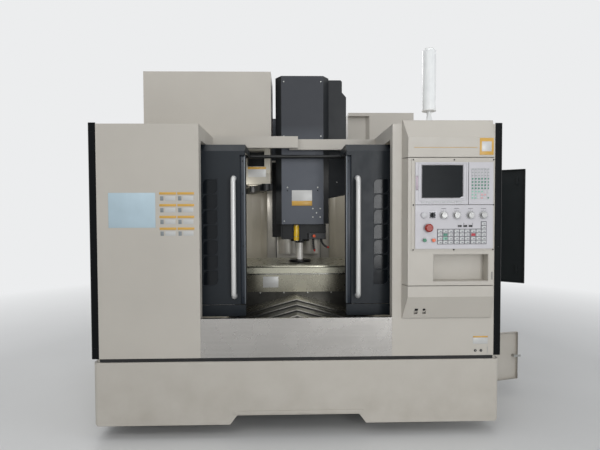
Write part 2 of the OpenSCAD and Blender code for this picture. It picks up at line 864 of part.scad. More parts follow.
module cabinet() color(cream) {
  x0 = 475;
  x1 = 1087;
  step_x = 673;
  y0 = front_y + 1600;
  y1 = y0 + 420;
  z0 = skirt_top + touch;
  z1 = 2246;
  step_in = 40;
  wall = 4;
  difference() {
    union() {
      translate([0, 0, z0]) linear_extrude(z1 - 30 - z0) polygon([
        [x0, y0 + step_in], [step_x - 30, y0 + step_in], [step_x, y0], [x1, y0], [x1, y1], [x0, y1]
      ]);
      block(x0, x1, y0, y1, z1 - 30, z1);
    }
    block(x0 + wall, x1 - wall, y0 + step_in + wall, y1 + 1, z0 + wall, z1 - wall);
  }
  // Rear door with two rows of louvres
  difference() {
    block(x0 + 2, x1 - 2, y1 + touch, y1 + 16, z0 + 2, z1 - 2);
    for (i = [0, 1]) for (j = [0 : 7]) {
      lx = x0 + 90 + i * 280;
      block(lx, lx + 150, y1 + 6, y1 + 20, z1 - 260 + j * 22, z1 - 250 + j * 22);
    }
    bar_y(y1 + 8, y1 + 20, x0 + 50, (z0 + z1) / 2, 16, fine);
  }
}

// Tool changer
module magazine_cover() color(cream) {
  wall = 4;
  leg_r = -402;
  top_step = 1852;
  beam_z = 1870;
  difference() {
    union() {
      profile_y([
        [mag_l, mag_low], [leg_r, mag_low], [leg_r, top_step], [mag_r, top_step], [mag_r, mag_top],
        [mag_l, mag_top]
      ], mag_front, mag_back);
    }
    difference() {
      profile_y([
        [mag_l + wall, mag_low + wall], [leg_r - wall, mag_low + wall],
        [leg_r - wall, top_step + wall], [mag_r - wall, top_step + wall], [mag_r - wall, mag_top - wall],
        [mag_l + wall, mag_top - wall]
      ], mag_front + wall, mag_back - wall);
      // Boss for the disc shaft on the back wall
      bar_y(disc_y + 34, mag_back, disc_x, disc_z, 70);
    }
    // Way out for the tool pot
    block(2 * arm_x - 80, 2 * arm_x + 80, mag_front + 40, disc_y - 10, mag_low - 1,
      mag_low + wall + 1);
    // Seat of the disc shaft
    bar_y(disc_y + 20, mag_back - 20, disc_x, disc_z, 30.05);
  }
  // Box beam back to the column
  difference() {
    profile_x([
      [mag_back + touch, beam_z], [mag_back + touch, beam_z + 130], [col_y + 300, beam_z + 130],
      [col_y + 300, beam_z]
    ], -column_half - 130, -column_half - touch);
    block(-column_half - 120, -column_half - 10, mag_back - 1, col_y + 301, beam_z + 10, beam_z + 120);
  }
}

module atc_box() color(steel) {
  l = -395;
  r = -212;
  top = 1852 - touch;
  difference() {
    union() {
      block(l, r, cam_front, cam_back, cam_low, top);
      translate([arm_x, axis_y, cam_low - 6]) cylinder(r = 62, h = 7);
    }
    // Port in the front face
    block(-379, -254, cam_front - 1, cam_front + 70, 1651, 1764);
    // Bore of the arm shaft
    translate([arm_x, axis_y, cam_low - 15]) cylinder(r = 35.05, h = 100);
    block(r - 30, r + 1, cam_front - 1, cam_front + 8, 1560, 1600);
  }
  // Drive motor behind the box
  difference() {
    bar_y(cam_back + touch, cam_back + 60, arm_x, 1700, 60);
    bar_y(cam_back + 20, cam_back + 30, arm_x, 1700, 61);
  }
  bar_y(cam_back + 18, cam_back + 32, arm_x, 1700, 54);
}

module magazine_disc() color(steel) {
  plate_t = 20;
  difference() {
    union() {
      bar_y(disc_y, disc_y + plate_t, disc_x, disc_z, disc_r, 96);
      bar_y(disc_y - 30, mag_back - 21, disc_x, disc_z, 30);
    }
    for (k = [0 : 5]) spun(disc_x, disc_z, k * 60 + 15)
      bar_y(disc_y - 1, disc_y + plate_t + 1, disc_x + 150, disc_z, 55);
    for (k = [0 : pot_count - 1]) spun(disc_x, disc_z, pot_phase + k * 360 / pot_count)
      bar_y(disc_y - 1, disc_y + plate_t + 1, disc_x + pot_circle_r, disc_z, pot_r + touch);
  }
  // Tool pots standing out of the disc towards the front
  for (k = [0 : pot_count - 1]) spun(disc_x, disc_z, pot_phase + k * 360 / pot_count) difference() {
    union() {
      bar_y(disc_y - 56, disc_y + plate_t, disc_x + pot_circle_r, disc_z, pot_r, fine);
      bar_y(disc_y - 56, disc_y - 48, disc_x + pot_circle_r, disc_z, pot_r + 5, fine);
      bar_y(disc_y - 8, disc_y - touch, disc_x + pot_circle_r, disc_z, pot_r + 5, fine);
    }
    bar_y(disc_y - 57, disc_y - 2, disc_x + pot_circle_r, disc_z, 23, fine);
  }
}

// Turns its child about a line along Y through (x, z)
module spun(x, z, angle) {
  translate([x, 0, z]) rotate([0, angle, 0]) translate([-x, 0, -z]) children();
}

arm_park = 75;
module atc_arm() color(near_black) {
  hub_r = 55;
  arm_t = 44;
  jaw_r = 46;
  tool_r = 31;
  translate([arm_x, axis_y, 0]) rotate([0, 0, -arm_park]) difference() {
    union() {
      translate([0, 0, arm_z - arm_t / 2]) cylinder(r = hub_r, h = arm_t);
      translate([0, 0, arm_z]) cylinder(r = 35, h = cam_low + 60 - arm_z);
      for (s = sides) {
        translate([s < 0 ? -arm_r : 0, -28, arm_z - arm_t / 2]) cube([arm_r, 56, arm_t]);
        translate([s * arm_r, 0, arm_z - arm_t / 2]) cylinder(r = jaw_r, h = arm_t);
      }
    }
    // Grippers open on one flank, as the arm sweeps round into the tool
    for (s = sides) {
      translate([s * arm_r, 0, arm_z - arm_t]) cylinder(r = tool_r, h = 2 * arm_t);
      translate([s > 0 ? arm_r - tool_r : -arm_r - tool_r, s > 0 ? -80 : 0, arm_z - arm_t])
        cube([2 * tool_r, 80, 2 * arm_t]);
    }
  }
}

// Way covers: a gabled sheet with a lip and side skirts
function gable(half, top, t) = let (d = half * tan(slope)) [
  [0, top], [half, top - d], [half, top - d - cover_skirt], [half - t, top - d - cover_skirt],
  [half - t, top - d - t / cos(slope) + t * tan(slope)],
  [0, top - t / cos(slope)],
  [-half + t, top - d - t / cos(slope) + t * tan(slope)],
  [-half + t, top - d - cover_skirt], [-half, top - d - cover_skirt], [-half, top - d]
];

function gable_solid(half, top, drop) = let (d = half * tan(slope)) [
  [0, top], [half, top - d], [half, top - d - drop], [0, top - drop], [-half, top - d - drop],
  [-half, top - d]
];

// One segment: lip_end 0 puts the wiper lip at the front, 1 at the back
module gable_cover(half, top, y0, l, lip_end) {
  translate([lip_end ? 0 : lane_x, 0, 0]) {
  profile_y(gable(half, top, cover_t), y0, y0 + l);
  lip_y = lip_end == 0 ? y0 : y0 + l - 8;
  profile_y(gable_solid(half, top, lip_h), lip_y, lip_y + 8);
  }
}

module fixed_covers() color(steel) {
  front_in = front_half - front_steps * nest_side;
  rear_in = rear_half - rear_steps * nest_side;
  gable_cover(front_in, ridge_z - front_steps * nest_step, front_start, front_seg_l, 0);
  gable_cover(rear_in, ridge_z - rear_steps * nest_step, rear_end - rear_seg_l,
    rear_seg_l, 1);
  // Feet of the fixed segments
  for (s = sides) {
    block(lane_x + s * (front_in - 20) - 12, lane_x + s * (front_in - 20) + 12, front_start, front_start + 20,
      skirt_top + touch, ridge_z - front_steps * nest_step - front_in * tan(slope) - 4);
    block(s * (rear_in - 20) - 12, s * (rear_in - 20) + 12, rear_end - 30, rear_end - 10,
      bed_top + touch, ridge_z - rear_steps * nest_step - rear_in * tan(slope) - 4);
  }
  // Lowest plate of the Z way cover, bolted to the column
  z_plate(2);
}

nest_side = 5;

module front_cover_1() color(steel)
  gable_cover(front_half - 2 * nest_side, ridge_z - 2 * nest_step, front_start + front_step,
    front_seg_l, 0);

module front_cover_2() color(steel)
  gable_cover(front_half - nest_side, ridge_z - nest_step, front_start + 2 * front_step,
    front_seg_l, 0);

module rear_cover_1() color(steel)
  gable_cover(rear_half - nest_side, ridge_z - nest_step, saddle_back + rear_step, rear_seg_l, 1);

module saddle_covers() color(steel) {
  guard_y = saddle_front - 9;
  gable_cover(front_half, ridge_z, saddle_front - front_seg_l, front_seg_l, 0);
  gable_cover(rear_half, ridge_z, saddle_back + touch, rear_seg_l - touch, 1);
  // Straight guard under the table edge, with its chevron flange
  difference() {
    union() {
      block(-saddle_half, saddle_half, guard_y, guard_y + cover_t, guard_low, guard_top);
      block(-saddle_half, saddle_half, guard_y, guard_y + 16, guard_top - cover_t, guard_top);
      block(-saddle_half, saddle_half, guard_y, guard_y + cover_t, saddle_top - 11, guard_low + 1);
      block(-saddle_half, saddle_half, guard_y, saddle_front - touch, saddle_top - 11, saddle_top - 7);
      translate([lane_x, 0, 0]) profile_y([
        [0, guard_low], [-front_half, guard_low],
        [-front_half, ridge_z - front_half * tan(slope) - 1], [0, ridge_z - 1],
        [front_half, ridge_z - front_half * tan(slope) - 1],
        [front_half, guard_low]
      ], guard_y, guard_y + cover_t);
    }
  }
  for (k = [-1.5 : 1 : 1.5]) bar_y(guard_y - 3, guard_y - touch, lane_x + k * 165, guard_low - 5, 5, fine);
}

// Saddle and table
module saddle() color(iron) {
  pocket_w = 190;
  land = 40;
  difference() {
    union() {
      block(-saddle_half, saddle_half, saddle_front, saddle_back, ridge_z + 6, saddle_top - 6);
      block(-y_rail_x - 80, y_rail_x + 80, saddle_front, saddle_back, saddle_low + 60, ridge_z + 7);
      for (y = [-x_rail_y, x_rail_y]) block(-saddle_half, saddle_half, table_y + y - land,
        table_y + y + land, saddle_top - 20, saddle_top);
      // Side wings that carry the rail ends
      for (s = sides) profile_y([
        [s * (y_rail_x + 79), saddle_low + 80], [s * (y_rail_x + 79), ridge_z + 7],
        [s * (saddle_half - 20), ridge_z + 7]
      ], saddle_front + 60, saddle_back - 60);
      // Carriages on the Y rails
      for (s = sides) for (k = sides) difference() {
        block(s * y_rail_x - carriage_w / 2, s * y_rail_x + carriage_w / 2, table_y + k * 170 - 65,
          table_y + k * 170 + 65, bed_top + 10, saddle_low + 61);
        block(s * y_rail_x - rail_w / 2 - 1, s * y_rail_x + rail_w / 2 + 1, table_y + k * 170 - 66,
          table_y + k * 170 + 66, bed_top, bed_top + rail_h + 1);
      }
      // Nut bracket of the Y screw
      difference() {
        block(-60, 60, table_y - 45, table_y + 45, bed_top - 112, saddle_low + 61);
        bar_y(table_y - 46, table_y + 46, 0, bed_top - 60, 21);
      }
    }
    for (k = sides) block(k * 300 - pocket_w / 2, k * 300 + pocket_w / 2, table_y - 90,
      table_y + 90, ridge_z + 20, saddle_top + 1);
    // Channel of the X screw
    block(-saddle_half - 1, saddle_half + 1, table_y - 40, table_y + 40, x_screw_z - 32,
      saddle_top + 1);
  }
}

module x_drive() color(steel) {
  screw_r = 18;
  for (y = [-x_rail_y, x_rail_y]) translate([-saddle_half + 10, table_y + y, saddle_top])
    rotate([90, 0, 90]) rail(2 * saddle_half - 20);
  bar_x(-saddle_half + 20, saddle_half + 10, table_y, x_screw_z, screw_r);
  for (x = [-saddle_half + 30, saddle_half - 80]) difference() {
    block(x, x + 50, table_y - 38, table_y + 38, x_screw_z - 32 + touch, x_screw_z + 36);
    bar_x(x - 1, x + 51, table_y, x_screw_z, screw_r + touch);
  }
  translate([saddle_half + touch, table_y, x_screw_z]) rotate([0, 90, 0]) servo(84, 84);
}

module table() color(steel) {
  slot_throat = 26;
  slot_foot_w = 30;
  slot_foot_h = 14;
  rib_in = 36;
  half_l = table_l / 2;
  y0 = table_y - table_w / 2;
  difference() {
    union() {
      block(-half_l, half_l, y0, y0 + table_w, table_top - plate_h, table_top);
      block(-half_l + 12, half_l - 12, y0 + rib_in, y0 + table_w - rib_in, table_low + 4,
        table_top - plate_h + 1);
      // Carriages on the X rails
      for (sy = sides) for (sx = sides) difference() {
        block(sx * 200 - 65, sx * 200 + 65, table_y + sy * x_rail_y - carriage_w / 2,
          table_y + sy * x_rail_y + carriage_w / 2, saddle_top + 10, table_low + 5);
        block(sx * 200 - 66, sx * 200 + 66, table_y + sy * x_rail_y - rail_w / 2 - 1,
          table_y + sy * x_rail_y + rail_w / 2 + 1, saddle_top, saddle_top + rail_h + 1);
      }
    }
    for (k = [0 : slot_count - 1]) {
      y = table_y + (k - (slot_count - 1) / 2) * slot_pitch;
      block(-half_l - 1, half_l + 1, y - slot_w / 2, y + slot_w / 2, table_top - slot_throat, table_top + 1);
      block(-half_l - 1, half_l + 1, y - slot_foot_w / 2, y + slot_foot_w / 2,
        table_top - slot_throat - slot_foot_h, table_top - slot_throat + 1);
    }
    // Coolant groove round the top
    for (s = sides) block(-half_l + 8, half_l - 8, table_y + s * (table_w / 2 - 14) - 6,
      table_y + s * (table_w / 2 - 14) + 6, table_top - 8, table_top + 1);
    // Cast pockets underneath
    for (x = [-330, 330]) block(x - 90, x + 90, table_y - 80, table_y + 80, table_low,
      table_low + 40);
    block(-half_l, half_l, table_y - 62, table_y + 62, table_low - 1, table_low + 20);
  }
  // Nut of the X screw
  difference() {
    block(-50, 50, table_y - 32, table_y + 32, x_screw_z - 26, table_low + 22);
    bar_x(-51, 51, table_y, x_screw_z, 19);
  }
}

// X way covers: flat boxes open below, the outer one on the table end
module flat_cover(x0, x1, half_w, top) {
  difference() {
    block(x0, x1, table_y - half_w, table_y + half_w, top - 34, top);
    block(x0 - 1, x1 + 1, table_y - half_w + cover_t, table_y + half_w - cover_t, top - 35,
      top - cover_t);
  }
}

x_outer_l = 215;
x_inner_l = 330;
x_cover_top = table_low;
x_cover_half = 236;
x_inner_top = x_cover_top - cover_t - touch;

module table_covers() color(steel) {
  half_l = table_l / 2;
  for (s = sides) {
    x0 = s > 0 ? half_l + touch : -half_l - touch - x_outer_l;
    flat_cover(x0, x0 + x_outer_l, x_cover_half, x_cover_top);
    fx = s > 0 ? half_l + touch : -half_l - touch - 4;
    block(fx, fx + 4, table_y - x_cover_half, table_y + x_cover_half, x_cover_top - eps,
      table_top - plate_h + 20);
  }
}

module x_cover_left() color(steel)
  flat_cover(-table_l / 2 - x_inner_l, -table_l / 2, x_cover_half - 5, x_inner_top);

module x_cover_right() color(steel)
  flat_cover(table_l / 2, table_l / 2 + x_inner_l, x_cover_half - 5, x_inner_top);

// Head
module headstock() color(charcoal) {
  plate_t = 70;
  rib_z = 1750;
  difference() {
    union() {
      // Carriage plate on the Z rails
      block(-plate_half, plate_half, head_back - plate_t, head_back, cast_low - 20, rib_z);
      // Arm out to the spindle
      profile_x([
        [head_front, cast_low], [head_back - plate_t + 1, cast_low],
        [head_back - plate_t + 1, rib_z - 20], [motor_y + 90, casting_top], [head_front, casting_top]
      ], -head_half, head_half);
      // Lower black front, wider at the right for the coolant manifold
      block(-head_half + 14, 185, head_front - 10, axis_y + 40, cast_low, cover_low - 4);
      // Carriages on the Z rails
      for (s = sides) for (z = [1190, 1480]) difference() {
        block(s * z_rail_x - carriage_w / 2, s * z_rail_x + carriage_w / 2, head_back - 1, col_y - 10,
          z - 70, z + 70);
        block(s * z_rail_x - rail_w / 2 - 1, s * z_rail_x + rail_w / 2 + 1, col_y - rail_h - 1, col_y,
          z - 71, z + 71);
      }
      // Nut bracket of the Z screw
      difference() {
        block(-58, 58, head_back - 1, col_y + 80, 1380, 1460);
        translate([0, col_y + 36, 1379]) cylinder(r = 21, h = 82);
      }
      // Seat of the spindle motor
      block(-head_half, head_half, motor_y - 110, head_back - plate_t + 1, seat_z - 30, seat_z);
      for (s = sides) block(s < 0 ? -head_half : head_half - 20, s < 0 ? 20 - head_half : head_half,
        motor_y - 110, head_back - plate_t + 1, casting_top - 1, seat_z - 29);
      // Pads that carry the head cover
      for (s = sides) for (z = [1300, 1490]) block(s < 0 ? cover_x - cover_half + sheet_t + touch : head_half - 1,
        s < 0 ? 1 - head_half : cover_x + cover_half - sheet_t - touch, axis_y + 180, axis_y + 230, z, z + 40);
    }
    translate([0, axis_y, cast_low - 1]) cylinder(r = cartridge_r + touch, h = 600);
    // Cored hollows in the arm
    block(-head_half + 30, head_half - 30, axis_y + cartridge_r + 60, head_back - plate_t - 40,
      cast_low + 40, casting_top - 60);
    for (s = sides) translate([s * (head_half - 20), axis_y + 130, casting_top - 160]) rotate([0, 90, 0])
      cylinder(r = 48, h = 60, center = true);
    // Passage of the motor shaft
    translate([0, motor_y, seat_z - 31]) cylinder(r = 36, h = 32);
  }
}

module spindle_cartridge() color(near_black) {
  bore_r = shaft_r + 0.05;
  translate([0, axis_y, 0]) difference() {
    union() {
      translate([0, 0, nose_z]) cylinder(r = nose_r, h = 18 - touch);
      translate([0, 0, nose_z + 17]) cylinder(r = cartridge_r, h = 420);
      translate([0, 0, casting_top + touch]) cylinder(r = 88, h = 22);
      translate([0, 0, nose_z + 400]) cylinder(r = cartridge_r, h = casting_top + 5 - nose_z - 400);
    }
    translate([0, 0, nose_z - 1]) cylinder(r = bore_r, h = 700);
    for (k = [0 : 5]) rotate([0, 0, k * 60 + 30]) translate([56, 0, nose_z - 1])
      cylinder(r = 4.5, h = 8, $fn = fine);
  }
}

pulley_z = casting_top + 40;
pulley_r = 72;
motor_y = axis_y + 240;
seat_z = 1700;
motor_shaft_r = 18;

// Toothed pulley with a flange above and below
module toothed_pulley() {
  teeth = 30;
  difference() {
    cylinder(r = pulley_r, h = 44);
    for (k = [0 : teeth - 1]) rotate([0, 0, k * 360 / teeth]) translate([pulley_r - 3, -3.5, -1])
      cube([6, 7, 46]);
  }
  for (z = [-5, 43]) translate([0, 0, z]) cylinder(r = pulley_r + 6, h = 6);
}

module motor_pulley() color(steel) {
  translate([0, motor_y, pulley_z]) {
    toothed_pulley();
    cylinder(r = motor_shaft_r, h = seat_z + 40 - pulley_z);
  }
}

module spindle_shaft() color(steel) {
  translate([0, axis_y, 0]) {
    difference() {
      union() {
        translate([0, 0, nose_z - 2]) cylinder(r = shaft_r, h = pulley_z + 60 - nose_z);
        translate([0, 0, pulley_z]) toothed_pulley();
      }
      // Drawbar bore and the seat of the arbor
      translate([0, 0, nose_z - 3]) cylinder(r = 22.05, h = 60);
      translate([0, 0, nose_z + 50]) cylinder(r = 12, h = 600);
    }
    // Drawbar
    translate([0, 0, nose_z + 60]) cylinder(r = 11.5, h = pulley_z + 120 - nose_z - 60);
  }
}

module test_arbor() color("white") {
  disc_z0 = table_top + 4;
  disc_h = 16;
  translate([0, axis_y, 0]) {
    difference() {
      union() {
        translate([0, 0, disc_z0 + disc_h - 4]) cylinder(r = 22, h = nose_z + 40 - disc_z0 - disc_h);
        translate([0, 0, nose_z - 16]) cylinder(r = 30, h = 10);
      }
      translate([0, 0, disc_z0]) cylinder(r = 6, h = 30, $fn = fine);
    }
    // Disc screwed under the bar
    translate([0, 0, disc_z0]) difference() {
      union() {
        cylinder(r = 80, h = disc_h - 4);
        cylinder(r = 74, h = disc_h - 4 - touch);
      }
      translate([0, 0, -1]) cylinder(r = 5, h = 30, $fn = fine);
      for (k = [0 : 7]) rotate([0, 0, k * 45]) translate([58, 0, -1]) cylinder(r = 8, h = 30, $fn = fine);
    }
  }
}

module spindle_motor() color(near_black) {
  body_z = seat_z + touch;
  // Motor body with its cooling fins, standing on the seat
  translate([0, motor_y, body_z]) difference() {
    union() {
      translate([-100, -100, 0]) cube([200, 200, 330]);
      translate([0, 0, 329]) cylinder(r = 92, h = 60);
      translate([-90, -60, 388]) cube([120, 120, 40]);
    }
    for (k = [0 : 8]) for (s = sides) translate([s * 100 - 8, -92 + k * 22, 30]) cube([16, 8, 270]);
    translate([0, 0, -1]) cylinder(r = motor_shaft_r + 0.05, h = 60);
  }
  // Belt round both pulleys
  translate([0, 0, pulley_z + 2]) linear_extrude(40) difference() {
    union() {
      for (y = [axis_y, motor_y]) translate([0, y]) circle(r = pulley_r + 5.3);
      translate([-pulley_r - 5.3, axis_y]) square([2 * pulley_r + 10.6, motor_y - axis_y]);
    }
    for (y = [axis_y, motor_y]) translate([0, y]) circle(r = pulley_r + touch);
    translate([-pulley_r - touch, axis_y]) square([2 * (pulley_r + touch), motor_y - axis_y]);
  }
}

module hood(inset) {
  chamfer = cover_front + 65 + inset / 2;
  back = cover_back + inset;
  face = face_half - inset / 2;
  side = cover_half - inset;
  translate([cover_x, 0]) polygon([
    [-face, cover_front + inset], [face, cover_front + inset], [side, chamfer], [side, back],
    [-side, back], [-side, chamfer]
  ]);
}

module head_cover() color(charcoal) {
  wall = sheet_t;
  difference() {
    translate([0, 0, cover_low]) linear_extrude(cover_top - cover_low) hood(0);
    translate([0, 0, cover_low - 1]) linear_extrude(cover_top - cover_low + 1 - wall) hood(wall);
    // Two small screw holes and a pattern of five
    for (p = [[-107, 1477], [107, 1477], [72, 1350], [124, 1350], [98, 1320], [72, 1290], [124, 1290]])
      bar_y(cover_front - 1, cover_front + wall + 1, cover_x + p[0], p[1], 4.5, fine);
  }
  // Duct down the right side, with its stepped top and slanted foot
  duct_l = cover_x + cover_half + touch;
  duct_r = cover_x + cover_half + 128;
  duct_front = front_y + 650;
  duct_back = duct_front + 220;
  difference() {
    union() {
      profile_y([
        [duct_l, 1425], [duct_r, 1450], [duct_r, 2150], [duct_r - 30, 2185],
        [duct_r - 30, 2262], [duct_r - 40, 2272], [duct_l, 2272]
      ], duct_front, duct_back);
    }
    profile_y([
      [duct_l + wall, 1425 + wall], [duct_r - wall, 1450 + wall], [duct_r - wall, 2148],
      [duct_r - 30 - wall, 2184], [duct_r - 30 - wall, 2258], [duct_l + wall, 2258]
    ], duct_front + wall, duct_back + 1);
    bar_y(duct_front - 1, duct_front + wall + 1, duct_l + 60, 1540, 4.5, fine);
  }
}

// Coolant hose made of beads that bends with radius r towards side s
module hose(x, r, n, s) {
  y = head_front - 32;
  turn = 12.9 / r * 180 / PI;
  for (k = [0 : n]) translate([x + s * r, y, cast_low + 4]) rotate([0, -s * k * turn, 0])
    translate([-s * r, 0, -13]) {
      if (k == n) cylinder(r1 = 3.5, r2 = 8, h = 13.4, $fn = fine);
      else {
        cylinder(r1 = 6, r2 = 8.5, h = 7, $fn = fine);
        translate([0, 0, 7]) cylinder(r1 = 8.5, r2 = 6, h = 6.5, $fn = fine);
      }
    }
}

module coolant_nozzles() {
  front = head_front - 22;
  // Distributor bar under the right of the head, with its tap
  block(60, 180, front - 22, head_front - 10 - touch, cast_low + 4, cast_low + 44);
  bar_y(front - 44, front - 21, 96, cast_low + 26, 9, fine);
  hose(90, 300, 6, 1);
  hose(150, 62, 6, 1);
}

module head_fittings() {
  color(near_black) coolant_nozzles();
  color("gold") air_valve();
}

module air_valve() {
  valve_x = -28;
  valve_y = head_front - 32;
  z0 = nose_z + 9;
  difference() {
    union() {
      translate([valve_x, valve_y, z0]) cylinder(r = 18, h = 112);
      translate([valve_x, valve_y, z0 + 112]) cylinder(r1 = 18, r2 = 12, h = 6);
    }
    translate([valve_x, valve_y, z0 - 1]) cylinder(r = 7, h = 40, $fn = fine);
  }
  // Clamp that holds the cylinder on the head
  difference() {
    block(valve_x - 24, valve_x + 24, valve_y - 6, head_front - 10 - touch, z0 + 70, z0 + 86);
    translate([valve_x, valve_y, z0 + 69]) cylinder(r = 18.3, h = 20);
  }
}

// Plates of the Z way cover, k counted back from the front one
module z_plate(k) {
  gap = 7;
  y = z_cover_y + k * gap;
  half = z_cover_half - k * (cover_t + touch);
  z1 = z_cover_top - k * z_cover_gap;
  block(-half, half, y, y + cover_t, z1 - z_plate_l, z1);
  for (s = sides) block(min(s * half, s * (half - cover_t)), max(s * half, s * (half - cover_t)), y,
    y + (k == 2 ? col_y - touch - y : gap + cover_t), z1 - z_plate_l, z1);
}

module z_cover_middle() color(steel) z_plate(1);

module z_cover_head() color(steel) {
  lobe_half = 78;
  lobe_x = 98;
  z_plate(0);
  block(-z_cover_half, z_cover_half, head_back - 30, z_cover_y + eps, z_cover_top - cover_t, z_cover_top);
  // Two rounded deflectors in front of the plate
  for (s = sides) intersection() {
    translate([s * lobe_x, z_cover_y + lobe_half * 0.9, 0]) difference() {
      translate([0, 0, lobe_low]) cylinder(r = lobe_half * 1.35, h = z_cover_top - lobe_low, $fn = 64);
      translate([0, 0, lobe_low + cover_t]) cylinder(r = lobe_half * 1.35 - cover_t,
        h = z_cover_top - lobe_low, $fn = 64);
    }
    block(s * lobe_x - lobe_half, s * lobe_x + lobe_half, z_cover_y - 60, z_cover_y + eps, lobe_low - 1,
      z_cover_top + 1);
  }
}

// Front doors
module leaf(size, r) {
  difference() {
    square([size, size]);
    difference() {
      translate([0, size - r]) square([r, r]);
      translate([r, size - r]) circle(r = r);
    }
    difference() {
      translate([size - r, 0]) square([r, r]);
      translate([size - r, r]) circle(r = r);
    }
  }
}

pane_step_z = 93.2;
pane_step_x = 105;
pane_in = 170;
pane_top = 1527;

// A door seen with its inner edge at x = 0 and running to +X
module door(x_in, side) {
  face_y = front_y + door_depth;
  translate([x_in, 0, 0]) mirror([side < 0 ? 1 : 0, 0, 0]) {
    difference() {
      union() {
        profile_x([
          [face_y, door_low], [face_y, door_top - door_bevel], [face_y + door_bevel, door_top],
          [flap_back, door_top], [flap_back, door_top - sheet_t],
            [face_y + door_bevel + 1, door_top - sheet_t],
          [face_y + sheet_t, door_top - door_bevel - 1], [face_y + sheet_t, door_low]
        ], 0, door_w);
        // Inner edge channel and outer edge return
        profile_x([
          [face_y + 1, door_low], [face_y + 1, door_top - door_bevel - 1],
          [face_y + door_bevel, door_top - 1], [flap_back, door_top - 1], [flap_back, door_top - 45],
          [face_y + door_bevel + 6, door_top - 45], [face_y + door_t, door_top - door_bevel - 20],
          [face_y + door_t, door_low]
        ], 0, sheet_t);
        block(0, trim_w, face_y + door_t - sheet_t, face_y + door_t, door_low,
          door_top - door_bevel - 20);
        block(door_w - sheet_t, door_w, face_y + 1, face_y + door_t, door_low,
          door_top - door_bevel - 10);
        block(1, door_w - 1, face_y + 1, face_y + door_t, door_low, door_low + sheet_t);
        block(0, 33, face_y + 1, face_y + 18, door_low, door_top - door_bevel - 22);
        // Hangers on the round bar
        for (x = [40, door_w - 70]) difference() {
          union() {
            block(x, x + 30, flap_back - 20, flap_back + 4, door_top - 60, door_top - 1);
            block(x, x + 30, flap_back - 1, bar_y + 26, bar_z - 26, bar_z + 26);
          }
          bar_x(x - 1, x + 31, bar_y, bar_z, bar_r + 0.05);
        }
      }
      // Step beside the opening
      block(-1, 30, face_y - 1, face_y + 15, door_low - 1, door_top - door_bevel - 25);
      for (i = [0 : pane_columns - 1]) for (j = [0 : pane_rows - 1])
        translate([pane_in + i * pane_step_x, face_y + sheet_t + 1, pane_top - pane_size - j * pane_step_z])
          rotate([90, 0, 0]) linear_extrude(sheet_t + 2) mirror_leaf(side);
    }
    // Glass behind the windows
    block(pane_in - 20, pane_in + (pane_columns - 1) * pane_step_x + pane_size + 20,
      face_y + sheet_t + touch,
      face_y + sheet_t + 5, pane_top - (pane_rows - 1) * pane_step_z - pane_size - 20, pane_top + 20);
  }
}

module mirror_leaf(side) {
  if (side > 0) leaf(pane_size, 26);
  else translate([pane_size, 0]) mirror([1, 0]) leaf(pane_size, 26);
}

// Bow handle: straight bar with a bend and a foot at each end
module bow_handle(x) {
  bend_r = 26;
  y_bar = front_y + door_depth - handle_off;
  y_foot = front_y + door_depth - touch;
  translate([x, y_bar, handle_z + bend_r]) cylinder(r = handle_r, h = handle_l - 2 * bend_r, $fn = fine);
  for (s = [0, 1]) translate([x, y_bar + bend_r, handle_z + s * handle_l]) mirror([0, 0, s]) {
    translate([0, 0, bend_r]) rotate([90, 0, 90]) rotate([0, 0, 180]) rotate_extrude(angle = 90)
      translate([bend_r, 0]) circle(r = handle_r, $fn = fine);
    bar_y(0, y_foot - y_bar - bend_r, 0, 0, handle_r, fine);
  }
}

module left_door() color(charcoal) door(left_door_in, -1);
module right_door() color(charcoal) door(right_door_in, 1);
module left_handle() color("silver") bow_handle(left_door_in - handle_in);
module right_handle() color("silver") bow_handle(right_door_in + handle_in);

// Operating elements
key_face = plate_y - bezel_t;

module push_stem(x, z, r) {
  bar_y(key_face - 7, panel_y + 8, x, z, r, fine);
}

module estop() color("firebrick") {
  head_h = 18;
  push_stem(estop_x, estop_z, 6.8);
  bar_y(key_face - 14, key_face - 7, estop_x, estop_z, 15);
  translate([estop_x, key_face - 13, estop_z]) rotate([90, 0, 0]) {
    cylinder(r = estop_d / 2, h = head_h - 6);
    translate([0, 0, head_h - 6]) cylinder(r1 = estop_d / 2, r2 = estop_d / 2 - 6, h = 6);
  }
}

module push_button(x, z) {
  push_stem(x, z, 6.8);
  bar_y(key_face - 12, key_face - 5, x, z, 10);
}

module green_button() color("seagreen") push_button(green_x, button_z);
module orange_button() color("orangered") push_button(orange_x, button_z);

module selector() color(near_black) {
  push_stem(selector_x, knob_z, 7.15);
  bar_y(key_face - 8, key_face - touch, selector_x, knob_z, 15);
  block(selector_x - 5, selector_x + 5, key_face - 20, key_face - 7, knob_z - 14, knob_z + 14);
}

module knob(k) color("silver") {
  p = knob_points[k];
  flute_count = 16;
  push_stem(p[0], p[1], 5.15);
  difference() {
    union() {
      bar_y(key_face - 5, key_face - touch, p[0], p[1], knob_d / 2);
      bar_y(key_face - 20, key_face - 4, p[0], p[1], knob_d / 2 - 4);
    }
    for (i = [0 : flute_count - 1]) translate([p[0], 0, p[1]]) rotate([0, i * 360 / flute_count, 0])
      bar_y(key_face - 21, key_face - 5, knob_d / 2 - 3.4, 0, 1.4, fine);
    block(p[0] - 1, p[0] + 1, key_face - 21, key_face - 18.5, p[1] + 4, p[1] + 20);
  }
}

